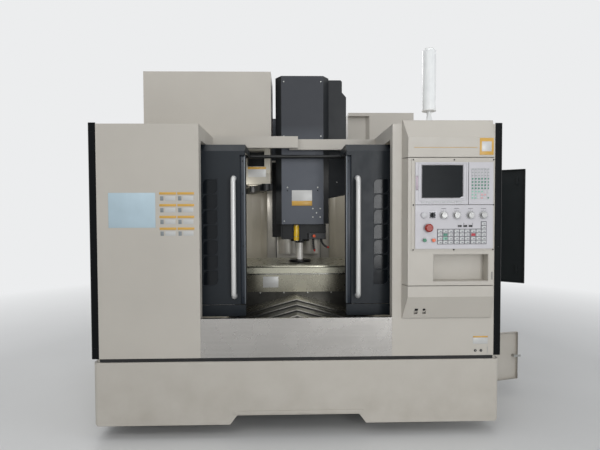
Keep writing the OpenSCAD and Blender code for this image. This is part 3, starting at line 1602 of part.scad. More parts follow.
// Side access door, turned open about its rear edge
module side_door() color(near_black) {
  t = 28;
  y_out = -side_door_w;
  h = side_z1 - side_z0;
  translate([right_x + 8, side_y, side_z0]) rotate([0, 0, side_angle]) {
    difference() {
      translate([0, y_out, 0]) cube([t, side_door_w, h]);
      translate([-1, y_out + sheet_t, sheet_t]) cube([t - sheet_t + 1, side_door_w - 2 * sheet_t,
        h - 2 * sheet_t]);
      for (i = [0 : 2]) for (j = [0 : pane_rows - 1])
        translate([t + 1, y_out + 210 + i * 95, h - 175 - j * 77 - 70]) rotate([90, 0, 90])
          translate([0, 0, -6])
          linear_extrude(8) leaf(70, 22);
    }
    // Glass held by its screws
    translate([t - sheet_t - 5, y_out + 180, h - 175 - 7 * 77 - 10]) cube([4.7, 320, 7 * 77 + 40]);
    // Two swing latches near the free edge
    for (z = [80, h - 120]) {
      translate([t - 14, y_out + 60, z + 20]) rotate([0, 90, 0]) cylinder(r = 9, h = 20, $fn = fine);
      translate([t - 20, y_out + 52, z]) cube([5, 16, 62]);
    }
  }
  // Hinge barrels on the wall
  for (z = [side_z0 + 90, side_z1 - 150]) translate([right_x + 8, side_y, z])
    cylinder(r = 8 - touch, h = 60, $fn = fine);
}

service_x = skirt_r + 6;
lock_in = 34;

module service_door() color(cream) {
  t = 20;
  y_out = -service_w;
  h = service_z1 - service_z0;
  translate([service_x, service_y, service_z0]) rotate([0, 0, service_angle]) difference() {
    translate([0, y_out, 0]) cube([t, service_w, h]);
    translate([-1, y_out + sheet_t, sheet_t]) cube([t - sheet_t + 1, service_w - 2 * sheet_t,
      h - 2 * sheet_t]);
    translate([t - sheet_t - 1, y_out + lock_in, h / 2]) rotate([0, 90, 0])
      cylinder(r = 9.05, h = sheet_t + 2);
  }
  for (z = [service_z0 + 40, service_z1 - 90]) translate([service_x, service_y, z])
    cylinder(r = service_x - skirt_r - touch, h = 50, $fn = fine);
}

module cam_latch() color("silver") {
  t = 20;
  h = service_z1 - service_z0;
  translate([service_x, service_y, service_z0]) rotate([0, 0, service_angle])
    translate([0, -service_w + lock_in, h / 2]) {
      difference() {
        union() {
          translate([-13, 0, 0]) rotate([0, 90, 0]) cylinder(r = 9, h = t + 14);
          translate([t + touch, 0, 0]) rotate([0, 90, 0]) cylinder(r = 14, h = 4);
          translate([t - 1, 0, 0]) rotate([0, 90, 0]) cylinder(r = 9, h = 2);
        }
        translate([t + 2, -10, -1.5]) cube([4, 20, 3]);
      }
      // Cam tongue behind the door edge
      translate([-13, -lock_in - 14, -8]) cube([3, lock_in + 24, 16]);
    }
}

bed();
column();
levelling_feet();
frame_rails();
frame_drives();
base_skirt();
front_panels();
corner_posts();
door_sills();
side_walls();
inner_walls();
roof();
crossbeams();
apron();
console_shell();
panel_plates();
display();
keys();
beacon();
cabinet();
magazine_cover();
atc_box();
fixed_covers();
saddle();
x_drive();
saddle_covers();
front_cover_1();
front_cover_2();
rear_cover_1();
table();
table_covers();
x_cover_left();
x_cover_right();
headstock();
spindle_cartridge();
spindle_motor();
head_cover();
motor_pulley();
head_fittings();
z_cover_head();
z_cover_middle();
spindle_shaft();
test_arbor();
left_door();
left_handle();
right_door();
right_handle();
estop();
green_button();
orange_button();
selector();
knob(0);  // knob_1
knob(1);  // knob_2
knob(2);  // knob_3
knob(3);  // knob_4
side_door();
service_door();
cam_latch();
magazine_disc();
atc_arm();
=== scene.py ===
"""Looks of the vertical machining center: finishes, fine fittings, lamps and camera."""

import math

import bmesh
import bpy
from mathutils import Matrix, Vector


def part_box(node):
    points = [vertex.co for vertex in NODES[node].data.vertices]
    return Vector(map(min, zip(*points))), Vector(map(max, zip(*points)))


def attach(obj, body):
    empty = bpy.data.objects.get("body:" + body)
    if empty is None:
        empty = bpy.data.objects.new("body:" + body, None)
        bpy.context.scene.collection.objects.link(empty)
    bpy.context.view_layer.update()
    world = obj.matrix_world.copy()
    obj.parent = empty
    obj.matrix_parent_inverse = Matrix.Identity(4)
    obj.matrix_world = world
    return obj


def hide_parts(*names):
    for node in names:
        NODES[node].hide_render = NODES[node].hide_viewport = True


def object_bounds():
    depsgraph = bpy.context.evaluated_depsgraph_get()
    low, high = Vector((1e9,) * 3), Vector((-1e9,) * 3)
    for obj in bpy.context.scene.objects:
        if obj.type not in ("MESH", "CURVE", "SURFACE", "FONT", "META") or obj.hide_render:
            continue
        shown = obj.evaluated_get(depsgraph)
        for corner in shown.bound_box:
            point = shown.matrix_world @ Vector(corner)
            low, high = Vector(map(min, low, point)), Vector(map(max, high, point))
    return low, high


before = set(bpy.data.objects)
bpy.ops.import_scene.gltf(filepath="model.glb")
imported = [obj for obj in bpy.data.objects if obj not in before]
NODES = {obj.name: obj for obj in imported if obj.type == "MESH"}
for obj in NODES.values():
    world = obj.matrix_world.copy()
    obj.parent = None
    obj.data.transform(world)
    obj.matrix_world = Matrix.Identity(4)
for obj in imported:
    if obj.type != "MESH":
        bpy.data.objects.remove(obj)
cad_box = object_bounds()
scene = bpy.context.scene
MM = 0.001
EVEN = (1.0, 1.0, 1.0)
# Sockets of the mix node in its colour mode
MIX_FACTOR, MIX_A, MIX_B, MIX_RESULT = 0, 6, 7, 2


# Finishes

def srgb(r, g, b):
    """A colour written as 0 to 255 screen values, as the shader wants it."""
    def linear(c):
        c /= 255.0
        return c / 12.92 if c <= 0.04045 else ((c + 0.055) / 1.055) ** 2.4
    return (linear(r), linear(g), linear(b), 1.0)


def shade(colour, factor):
    return (colour[0] * factor, colour[1] * factor, colour[2] * factor, 1.0)


class Bench:
    """One finish being mixed: the material, its shader and short calls for its nodes."""

    def __init__(self, name):
        self.material = bpy.data.materials.new(name)
        self.material.use_nodes = True
        self.tree = self.material.node_tree
        self.shader = self.tree.nodes["Principled BSDF"]

    def node(self, kind, **settings):
        node = self.tree.nodes.new(kind)
        for key, value in settings.items():
            setattr(node, key, value)
        return node

    def link(self, a, b):
        self.tree.links.new(a, b)

    def put(self, name, value):
        """Sets one value of the shader."""
        self.shader.inputs[name].default_value = value

    def place(self, scale=EVEN):
        """Object coordinates, stretched by scale."""
        coords = self.node("ShaderNodeTexCoord")
        mapping = self.node("ShaderNodeMapping")
        mapping.inputs["Scale"].default_value = scale
        self.link(coords.outputs["Object"], mapping.inputs["Vector"])
        return mapping.outputs["Vector"]

    def noise(self, scale, detail, stretch=EVEN, rough=0.55):
        noise = self.node("ShaderNodeTexNoise")
        noise.inputs["Scale"].default_value = scale
        noise.inputs["Detail"].default_value = detail
        noise.inputs["Roughness"].default_value = rough
        self.link(self.place(stretch), noise.inputs["Vector"])
        return noise.outputs["Fac"]

    def span(self, value, low, high, to_low=0.0, to_high=1.0):
        ranged = self.node("ShaderNodeMapRange")
        for key, number in (("From Min", low), ("From Max", high), ("To Min", to_low), ("To Max", to_high)):
            ranged.inputs[key].default_value = number
        self.link(value, ranged.inputs["Value"])
        return ranged.outputs["Result"]

    def times(self, a, b, operation="MULTIPLY"):
        maths = self.node("ShaderNodeMath", operation=operation)
        for socket, value in zip(maths.inputs, (a, b)):
            if isinstance(value, (int, float)):
                socket.default_value = value
            else:
                self.link(value, socket)
        return maths.outputs["Value"]

    def mix(self, factor, a, b):
        mixed = self.node("ShaderNodeMix", data_type="RGBA")
        self.link(factor, mixed.inputs[MIX_FACTOR])
        for number, value in ((MIX_A, a), (MIX_B, b)):
            if isinstance(value, tuple):
                mixed.inputs[number].default_value = value
            else:
                self.link(value, mixed.inputs[number])
        return mixed.outputs[MIX_RESULT]

    def coordinate(self, axis):
        split = self.node("ShaderNodeSeparateXYZ")
        self.link(self.place(), split.inputs["Vector"])
        return split.outputs[axis]

    def along(self, axis, low, high):
        """0 up to the place low on an axis, 1 from the place high on."""
        return self.span(self.coordinate(axis), low, high)

    def beyond(self, middle, half, soft):
        """0 within half of the upright plane X = middle, 1 further out: the mask of the painted side shade."""
        off = self.times(self.times(self.coordinate("X"), middle, "SUBTRACT"), 0.0, "ABSOLUTE")
        return self.span(off, half, half + soft)

    def relief(self, value, distance, strength=1.0, edge=0.0):
        bump = self.node("ShaderNodeBump")
        bump.inputs["Strength"].default_value = strength
        bump.inputs["Distance"].default_value = distance
        self.link(value, bump.inputs["Height"])
        if edge:
            rounded = self.node("ShaderNodeBevel", samples=4)
            rounded.inputs["Radius"].default_value = edge
            self.link(rounded.outputs["Normal"], bump.inputs["Normal"])
        self.link(bump.outputs["Normal"], self.shader.inputs["Normal"])


def finish(name, colour, rough=0.45, metal=0.0, spread=0.05, blotch=2.2, grain=700, depth=0.00004,
           stretch=EVEN, rough_spread=0.06, edge=0.0015, coat=0.0, dust=None, wear=0.0,
           specular=0.5, streak=0.0, second=None, painted_side_shade=None):
    """A procedural finish: blotchy colour, grain in the relief, uneven gloss, dust near the floor; where asked, a
    second colour along an axis (two-tone paint, or painted shade) and painted shade at the sides.
    """
    bench = Bench(name)
    tone = bench.noise(blotch, 5.0)
    colours = bench.mix(bench.span(tone, 0.3, 0.7), shade(colour, 1.0 - spread), shade(colour, 1.0 + spread))
    fine = bench.noise(grain, 3.0, stretch)
    if streak:
        lines = bench.noise(grain * 0.12, 4.0, stretch)
        colours = bench.mix(bench.span(lines, 0.35, 0.65, 0.0, streak), colours, shade(colour, 0.62))
    if wear:
        scuffs = bench.noise(11.0, 9.0, rough=0.72)
        colours = bench.mix(bench.span(scuffs, 0.62, 0.72, 0.0, wear), colours, shade(colour, 1.7))
    if dust:
        dirt = bench.noise(6.0, 6.0)
        low = bench.times(1.0, bench.along("Z", 0.08, 0.62), "SUBTRACT")
        amount = bench.times(bench.times(low, bench.span(dirt, 0.35, 0.75)), 0.34)
        colours = bench.mix(amount, colours, dust)
    # A second colour from one place on an axis on: two-tone paint for some finishes, painted shade for the head
    # cover
    if second:
        axis, low, high, other, above = second
        mask = bench.along(axis, low, high)
        colours = bench.mix(mask, colours, other) if above else bench.mix(mask, other, colours)
    # Painted shade: a darker colour beyond a band round the plane X = middle
    if painted_side_shade:
        middle, half, dark, soft = painted_side_shade
        colours = bench.mix(bench.beyond(middle, half, soft), colours, dark)
    bench.link(colours, bench.shader.inputs["Base Color"])
    gloss = bench.noise(blotch * 7.0, 5.0)
    bench.link(bench.span(gloss, 0.3, 0.7, rough - rough_spread, rough + rough_spread),
               bench.shader.inputs["Roughness"])
    bench.put("Metallic", metal)
    bench.put("Specular IOR Level", specular)
    if coat:
        bench.put("Coat Weight", coat)
        bench.put("Coat Roughness", 0.08)
    bench.relief(fine, depth, edge=edge)
    return bench.material


ALONG_X = (0.05, 1.0, 1.0)
DUST = srgb(142, 133, 118)
CREAM = srgb(186, 181, 172)
CHARCOAL = srgb(32, 37, 42)
INK = srgb(9, 12, 14)

FINISH = {
    "cream": finish("cream_powder_coat", CREAM, 0.42, spread=0.035, grain=420, depth=0.00005, dust=DUST),
    "cream_beams": finish("cream_beams_and_dark_bar", CREAM, 0.42, spread=0.035, grain=420, depth=0.00005,
                          second=("Z", 1.742, 1.746, INK, False)),
    "cream_inside": finish("cream_inside_sheet", srgb(186, 181, 168), 0.5, spread=0.05, dust=DUST),
    "charcoal": finish("charcoal_textured_paint", CHARCOAL, 0.42, spread=0.07, grain=950, depth=0.00009, wear=0.05,
                       specular=0.28),
    "door_edge": finish("door_edge_strip_paint", srgb(44, 50, 58), 0.38, spread=0.06, grain=900, depth=0.00006,
                        specular=0.4),
    # Head cover: painted shade, darker from Z 1.74 up to 1.94, and near black beyond the cover's front at its
    # chamfers and duct sides
    "head_charcoal": finish("head_cover_paint_with_painted_shade", srgb(86, 90, 98), 0.44, spread=0.10, grain=950, depth=0.00009,
                            wear=0.08, specular=0.35, second=("Z", 1.74, 1.94, srgb(48, 51, 57), True),
                            painted_side_shade=(0.016, 0.148, srgb(20, 24, 28), 0.0015)),
    "ink": finish("corner_post_paint", INK, 0.34, spread=0.08, grain=500, depth=0.00004, wear=0.05, specular=0.1),
    "side_door_ink": finish("side_door_paint", srgb(20, 25, 27), 0.4, spread=0.08, grain=600, depth=0.00005,
                            wear=0.05, specular=0.25),
    "casting": finish("painted_casting", srgb(74, 82, 84), 0.52, spread=0.10, grain=160, depth=0.0004, dust=DUST,
                      edge=0.003),
    "column": finish("painted_column", srgb(70, 75, 83), 0.5, spread=0.08, grain=240, depth=0.00025, edge=0.003),
    "liner": finish("liner_sheet_paint", srgb(182, 176, 160), 0.36, spread=0.09, blotch=3, grain=300,
                    streak=0.10, stretch=(1.0, 1.0, 0.15)),
    "z_cover": finish("z_way_cover_sheet", srgb(212, 209, 201), 0.36, 0.35, 0.05, 3, 500,
                      stretch=ALONG_X, depth=0.00003, streak=0.08),
    # Cover lips: painted shade, darker towards the sides
    "lip_steel": finish("ground_cover_lip_painted_side_shade", srgb(166, 164, 158), 0.30, 0.6, 0.04, 6, 700,
                        stretch=ALONG_X, depth=0.00002, painted_side_shade=(-0.035, 0.07, srgb(50, 49, 46), 0.17)),
    "steel": finish("bright_ground_steel", srgb(172, 172, 168), 0.24, 1.0, 0.06, grain=800,
                    stretch=(1.0, 0.05, 1.0), depth=0.00003, streak=0.18),
    "cover_steel": finish("way_cover_steel", srgb(92, 91, 87), 0.34, 1.0, 0.10, 3, 500,
                          stretch=(1.0, 0.04, 1.0), depth=0.00004, streak=0.25),
    "stainless": finish("brushed_stainless_sheet", srgb(184, 181, 177), 0.26, 1.0, 0.05, 1.2, 620.0,
                        stretch=(0.03, 1.0, 1.0), depth=0.000012, streak=0.12, rough_spread=0.05),
    # Guard sheet: painted reflection, darker towards the sides
    "guard_steel": finish("olive_oiled_guard_sheet_painted_side_reflection", srgb(150, 147, 133), 0.27, 0.85, 0.08, 2, 500,
                          stretch=(0.04, 1.0, 1.0), depth=0.000015, streak=0.10, rough_spread=0.04,
                          painted_side_shade=(-0.035, 0.19, srgb(104, 101, 90), 0.10)),
    "table_iron": finish("milled_table_iron", srgb(176, 174, 158), 0.30, 0.9, 0.06, 5, 600,
                         stretch=ALONG_X, depth=0.000015, streak=0.10),
    "zinc": finish("zinc_plated_steel", srgb(178, 179, 176), 0.34, 1.0, 0.08, 30, 300, depth=0.00005),
    "black": finish("black_satin_casting", srgb(15, 17, 19), 0.36, spread=0.10, grain=400, depth=0.00008,
                    specular=0.3),
    # Painted shade for the flange under the guard, which lies in the guard's shadow
    "flange_shade_steel": finish("flange_sheet_painted_shade", srgb(68, 67, 64), 0.32, 0.8, 0.10, 4, 600,
                           stretch=ALONG_X, depth=0.00003),
    "black_oxide": finish("black_oxide_steel", srgb(26, 27, 29), 0.32, 0.7, 0.10, 20, 500, wear=0.10),
    "rubber": finish("wiper_rubber", srgb(21, 21, 22), 0.66, spread=0.12, grain=900, depth=0.00008),
    "seam": finish("seam_shadow_rubber", srgb(34, 32, 30), 0.7, spread=0.15, grain=600),
    "chrome": finish("polished_chrome", srgb(222, 223, 224), 0.10, 1.0, 0.03, 9, 600, depth=0.00001,
                     rough_spread=0.04),
    "white_handle": finish("satin_bright_handle", srgb(206, 206, 204), 0.3, 0.25, 0.01, 2, 900,
                           depth=0.000004, rough_spread=0.01),
    "edge_bead": finish("door_edge_bright_bead", srgb(112, 118, 124), 0.34, 0.3, 0.05, 20.0, 700.0),
    "arbor": finish("plated_arbor", srgb(230, 227, 221), 0.24, 0.1, 0.03, 20, 500, depth=0.00002),
    "alu": finish("knurled_aluminium", srgb(158, 158, 157), 0.36, 0.7, 0.05, 60, 900, specular=0.3),
    "plates_on_cream": finish("instrument_plates_and_cream_back_plate", srgb(193, 191, 195), 0.42, spread=0.02,
                              blotch=5, grain=1400, depth=0.00002, edge=0.0008,
                              second=("Y", -1.2262, -1.2258, srgb(184, 179, 170), True)),
    "collar": finish("switch_collar_grey", srgb(150, 150, 153), 0.36, 0.2, 0.05, 60.0, 900.0),
    "bezel": finish("display_bezel", srgb(208, 207, 211), 0.36, spread=0.02, blotch=6, grain=1200,
                    depth=0.00002, edge=0.0008),
    "key": finish("key_cap_plastic", srgb(196, 196, 197), 0.40, spread=0.03, blotch=40, grain=900,
                  depth=0.00002, edge=0.0006),
    "screen": finish("display_glass", srgb(20, 24, 27), 0.3, spread=0.18, blotch=7, grain=300,
                     depth=0.000004, rough_spread=0.03, specular=0.08, edge=0.0006),
    "screen_rim": finish("display_black_rim", srgb(14, 15, 17), 0.3, spread=0.1, grain=900),
    "pane": finish("smoked_window_glass", srgb(20, 24, 28), 0.14, spread=0.12, blotch=4, grain=200,
                   depth=0.000004, rough_spread=0.03, specular=0.22, edge=0.0006),
    # The same window glass, made pale: painted reflection
    "pane_painted_reflection": finish("pale_window_glass_painted_reflection", srgb(150, 158, 160), 0.10, spread=0.10, blotch=4, grain=200,
                        depth=0.000004, rough_spread=0.02, coat=1.0, edge=0.0006),
    "bead": finish("window_bead", srgb(70, 77, 84), 0.30, spread=0.06, grain=800),
    "yellow": finish("yellow_valve_paint", srgb(226, 184, 34), 0.3, spread=0.05, blotch=40, grain=700, coat=0.3),
    "label": finish("bare_label_plate", srgb(190, 190, 188), 0.4, 0.15, 0.03, 6, 900, edge=0.0005),
    "lamp_cap": finish("beacon_cap_white", srgb(228, 228, 226), 0.3, spread=0.02, blotch=10, grain=600),
}

# Small parts and prints: key, name, colour, roughness, spread and scale of the blotches, what differs
BUTTON = {"coat": 0.15, "specular": 0.3}
for key, name, colour, rough, spread, blotch, more in (
    ("patch", "display_side_patch", (186, 172, 182), 0.42, 0.03, 30.0, {}),
    ("key_mat", "key_surround", (92, 91, 97), 0.5, 0.06, 30.0, {}),
    ("key_print", "key_legend_grey", (128, 134, 136), 0.5, 0.08, 90.0, {}),
    ("key_pale_print", "key_legend_pale_grey", (158, 162, 163), 0.5, 0.08, 90.0, {}),
    ("key_green", "key_green", (46, 118, 96), 0.36, 0.05, 60.0, {}),
    ("key_mint", "key_mint", (128, 186, 164), 0.36, 0.05, 60.0, {}),
    ("key_red", "key_red", (176, 38, 54), 0.34, 0.05, 60.0, {}),
    ("key_pink", "key_pink", (214, 158, 160), 0.36, 0.05, 60.0, {}),
    ("estop", "stop_button_red", (146, 36, 20), 0.34, 0.05, 50.0, BUTTON),
    ("green", "start_button_green", (14, 112, 76), 0.34, 0.05, 60.0, BUTTON),
    ("orange", "hold_button_orange", (214, 92, 40), 0.34, 0.05, 60.0, BUTTON),
    ("tip_red", "nozzle_tip_red", (178, 44, 36), 0.36, 0.06, 60.0, {}),
    ("tap_orange", "tap_knob_orange", (214, 84, 40), 0.36, 0.06, 60.0, {}),
    ("hose", "hose_black_plastic", (27, 28, 30), 0.4, 0.1, 60.0, {}),
    ("label_blue", "bare_label_pale_blue", (176, 196, 206), 0.4, 0.05, 8.0, {}),
    ("label_gold", "label_gold_band", (204, 160, 74), 0.36, 0.05, 12.0, {}),
    ("pilot", "pilot_lamp_white", (196, 196, 198), 0.36, 0.02, 20.0, {"specular": 0.3}),
):
    FINISH[key] = finish(name, srgb(*colour), rough, spread=spread, blotch=blotch, grain=900, **more)


def lens_finish():
    """White ribbed lens of the beacon: fine rings up its height."""
    bench = Bench("beacon_ribbed_lens")
    wave = bench.node("ShaderNodeTexWave", wave_type="BANDS", bands_direction="Z")
    wave.inputs["Scale"].default_value = 60.0
    bench.link(bench.place(), wave.inputs["Vector"])
    tone = bench.noise(8.0, 4.0)
    bench.link(bench.mix(bench.span(tone, 0.3, 0.7), srgb(226, 228, 228), srgb(240, 241, 240)),
               bench.shader.inputs["Base Color"])
    bench.link(bench.span(tone, 0.3, 0.7, 0.18, 0.28), bench.shader.inputs["Roughness"])
    bench.put("Coat Weight", 0.5)
    bench.relief(wave.outputs["Fac"], 0.0006, 0.6)
    return bench.material


FINISH["lens"] = lens_finish()

NODE_FINISH = {
    "cream": "front_panels base_skirt side_walls roof console_shell cabinet magazine_cover service_door",
    "cream_beams": "crossbeams",
    "cream_inside": "atc_box",
    "charcoal": "door_sills left_door right_door",
    "head_charcoal": "head_cover",
    "ink": "corner_posts",
    "side_door_ink": "side_door",
    "casting": "bed saddle",
    "column": "column",
    "liner": "inner_walls",
    "z_cover": "z_cover_head z_cover_middle",
    "steel": "frame_rails spindle_shaft motor_pulley",
    "cover_steel": "fixed_covers front_cover_1 front_cover_2 rear_cover_1 x_cover_left x_cover_right",
    "stainless": "apron",
    "guard_steel": "saddle_covers table_covers",
    "table_iron": "table",
    "zinc": "levelling_feet magazine_disc cam_latch",
    "black": "frame_drives spindle_motor x_drive atc_arm spindle_cartridge headstock",
    "chrome": "left_handle right_handle",
    "arbor": "test_arbor",
    "plates_on_cream": "panel_plates",
    "key": "keys",
    "screen": "display",
    "hose": "head_fittings",
    "lens": "beacon",
    "estop": "estop",
    "green": "green_button",
    "orange": "orange_button",
    "black_oxide": "selector",
    "alu": "knob_1 knob_2 knob_3 knob_4",
}
for key, names in NODE_FINISH.items():
    for name in names.split():
        solid = NODES[name]
        if not solid.data.materials:
            solid.data.materials.append(FINISH[key])
        for i in range(len(solid.material_slots)):
            solid.material_slots[i].material = FINISH[key]


# Shaping

def turned(axis):
    """Rotation that lays the Z axis along axis."""
    return Vector((0, 0, 1)).rotation_difference(Vector(axis)).to_matrix().to_4x4()


def piece(name, bm, key, body="frame", round_angle=35.0, on=None):
    """Closes the mesh, paints it and hangs it on its body."""
    if on:
        bmesh.ops.transform(bm, matrix=on, verts=bm.verts)
    mesh = bpy.data.meshes.new(name)
    bm.to_mesh(mesh)
    bm.free()
    mesh.materials.append(FINISH[key])
    mesh.shade_smooth()
    mesh.set_sharp_from_angle(angle=math.radians(round_angle))
    made = bpy.data.objects.new(name, mesh)
    scene.collection.objects.link(made)
    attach(made, body)
    return made


def add_block(bm, x0, x1, y0, y1, z0, z1, edge=0.0):
    """A block between two corners in mm, with rounded edges."""
    size = Vector((x1 - x0, y1 - y0, z1 - z0)) * MM
    middle = Vector((x0 + x1, y0 + y1, z0 + z1)) * MM / 2
    made = bmesh.ops.create_cube(bm, size=1.0, matrix=Matrix.Translation(middle) @ Matrix.Diagonal((*size, 1.0)))
    if edge:
        edges = list({e for v in made["verts"] for e in v.link_edges})
        bmesh.ops.bevel(bm, geom=edges, offset=edge * MM, affect="EDGES", segments=2, profile=0.5, material=-1)


def add_rod(bm, at, axis, r, length, r2=None, sides=24, edge=0.0):
    """A round bar in mm that starts at a point and runs along axis."""
    direction = Vector(axis).normalized()
    middle = (Vector(at) + direction * length / 2) * MM
    made = bmesh.ops.create_cone(bm, cap_ends=True, segments=sides, radius1=r * MM,
                                 radius2=(r if r2 is None else r2) * MM, depth=length * MM,
                                 matrix=Matrix.Translation(middle) @ turned(direction))
    if edge:
        rims = [e for e in {e for v in made["verts"] for e in v.link_edges}
                if any(len(f.verts) > 4 for f in e.link_faces)]
        bmesh.ops.bevel(bm, geom=rims, offset=edge * MM, affect="EDGES", segments=2, profile=0.5, material=-1)


def add_screw(bm, at, axis, r):
    """A button-head screw with a round socket, its seat at a point in mm."""
    sides = 16
    direction = Vector(axis).normalized()
    middle = (Vector(at) + direction * r * 0.25) * MM
    made = bmesh.ops.create_cone(bm, cap_ends=True, segments=sides, radius1=r * MM, radius2=r * 0.78 * MM,
                                 depth=r * 0.5 * MM, matrix=Matrix.Translation(middle) @ turned(direction))
    faces = {f for v in made["verts"] for f in v.link_faces}
    top = max((f for f in faces if len(f.verts) == sides), key=lambda f: f.calc_center_median().dot(direction))
    bmesh.ops.inset_individual(bm, faces=[top], thickness=r * 0.36 * MM, depth=0.0)
    bmesh.ops.inset_individual(bm, faces=[top], thickness=r * 0.04 * MM, depth=-r * 0.32 * MM)


def only(kind, made, part="geom"):
    """The verts or the edges among what a mesh operation made."""
    return [g for g in made[part] if isinstance(g, kind)]


def thicken(bm, faces, direction, thick):
    made = bmesh.ops.extrude_face_region(bm, geom=faces)
    bmesh.ops.translate(bm, verts=only(bmesh.types.BMVert, made), vec=Vector(direction).normalized() * thick * MM)
    bmesh.ops.recalc_face_normals(bm, faces=bm.faces)


def add_outline(bm, points, direction, thick):
    """A flat plate: an outline of points in mm, thickened along direction."""
    thicken(bm, [bm.faces.new([bm.verts.new(Vector(p) * MM) for p in points])], direction, thick)


def add_band(bm, points, grow, direction, thick):
    """A band round an outline: the outline's edge, grow mm wide inwards, thickened along direction."""
    face = bm.faces.new([bm.verts.new(Vector(p) * MM) for p in points])
    made = bmesh.ops.inset_individual(bm, faces=[face], thickness=grow * MM, depth=0.0)
    around = list(made["faces"])
    bmesh.ops.delete(bm, geom=[face], context="FACES")
    thicken(bm, around, direction, thick)


def blocks(name, key, slot, *boxes, body="frame", on=None):
    """One piece made of blocks, each written as add_block takes it."""
    bm = bmesh.new()
    for box in boxes:
        add_block(bm, *box)
    piece(name, bm, key, body, on=on)


def band(name, key, points, grow, direction, thick, body="frame", on=None):
    """One piece made of a band round an outline."""
    bm = bmesh.new()
    add_band(bm, points, grow, direction, thick)
    piece(name, bm, key, body, on=on)


def rods(name, key, slot, points, axis, r, length, body="frame", **shape):
    """One piece made of equal bars that start at the points."""
    bm = bmesh.new()
    for p in points:
        add_rod(bm, p, axis, r, length, **shape)
    piece(name, bm, key, body)


def screws(name, points, axis, r, key, body="frame", on=None):
    bm = bmesh.new()
    for p in points:
        add_screw(bm, p, axis, r)
    piece(name, bm, key, body=body, on=on)


def upright(x0, x1, z0, z1, y):
    """Corners of an upright rectangle that faces the front or the rear."""
    return [(x0, y, z0), (x1, y, z0), (x1, y, z1), (x0, y, z1)]


FRONT, REAR = (0.0, -1.0, 0.0), (0.0, 1.0, 0.0)
LEFT, RIGHT = (-1.0, 0.0, 0.0), (1.0, 0.0, 0.0)
UP, DOWN = (0.0, 0.0, 1.0), (0.0, 0.0, -1.0)
FRONT_Y = -1150.0
LEFT_X, RIGHT_X = -1230.0, 1170.0
PANEL_TOP = 1836.0


# Front doors

DOOR_Y = -1000
DOOR_W = 580
DOOR_LOW, DOOR_TOP = 760, 1745
LEFT_IN, RIGHT_IN = -349, 273
PANE, PANE_R = 86, 26
PANE_PLACES = [(i, j) for i in range(3) for j in range(7)]
PANES_IN, PANES_TOP, PANE_PITCH_X, PANE_PITCH_Z = 170, 1527, 105, 93.2
STRIP_Y, STRIP_TOP = -985, 1675
HANGER_Y = -630


def leaf_outline(size, r, grow=0):
    """Square with its upper left and lower right corners rounded, as (across, up) from the lower left."""
    low, high, r = -grow, size + grow, r + grow
    quarter, steps = math.pi / 2, 5
    points = []
    for corner, across, up, start in ((low, high - r, low + r, -quarter), (high, low + r, high - r, quarter)):
        points.append((corner, corner))
        for turn in [start + k * quarter / steps for k in range(steps + 1)]:
            points.append((across + r * math.cos(turn), up + r * math.sin(turn)))
    return points


def door_windows(side, x_in, body):
    """Smoked panes and their beads in one door; side is -1 at the left and 1 at the right."""
    def spot(i, j, u, v, y):
        across = u if side > 0 else PANE - u
        return (x_in + side * (PANES_IN + i * PANE_PITCH_X + across), y, PANES_TOP - PANE - j * PANE_PITCH_Z + v)

    panes, beads = bmesh.new(), bmesh.new()
    for place in PANE_PLACES:
        add_outline(panes, [spot(*place, *p, DOOR_Y + 3.2) for p in leaf_outline(PANE - 1, PANE_R)], FRONT, 2)
        add_band(beads, [spot(*place, *p, DOOR_Y + 0.4) for p in leaf_outline(PANE, PANE_R, 4)], 5.5, FRONT, 2.2)
    piece(body + "_panes", panes, "pane", body)
    piece(body + "_pane_beads", beads, "bead", body)


def door_trim(side, x_in, body):
    """Seal, recessed strip with its screws and hanger nuts of one door."""
    def span(a, b):
        return sorted((x_in + side * a, x_in + side * b))

    blocks(body + "_seal", "rubber", "drive_black",
           (*span(-6, 0), STRIP_Y + 2, DOOR_Y + 34, DOOR_LOW + 4, STRIP_TOP - 2, 2.5),
           (*span(3, DOOR_W - 3), DOOR_Y + 16, DOOR_Y + 30, DOOR_LOW - 2.4, DOOR_LOW - 0.1, 0.8), body=body)
    blocks(body + "_edge_strip", "door_edge", "charcoal_paint",
           (*span(0.6, 29.4), STRIP_Y - 0.9, STRIP_Y - 0.1, DOOR_LOW + 1, STRIP_TOP - 1, 0.3), body=body)
    blocks(body + "_edge_bead", "edge_bead", "charcoal_paint",
           (*span(0.4, 6), STRIP_Y - 2.2, STRIP_Y - 0.8, DOOR_LOW + 1, STRIP_TOP - 1, 0.5), body=body)
    rods(body + "_hanger_nuts", "zinc", "zinc_steel",
         [(x_in + side * across, HANGER_Y, DOOR_TOP - 0.5) for across in (55, 525)], UP, 9, 6, body,
         edge=1, sides=6)
    holes = [(x_in + side * 14, STRIP_Y - 0.9, z) for z in (800, 1120, 1440, 1640)]
    screws(body + "_edge_screws", holes, FRONT, 4, "black_oxide", body)


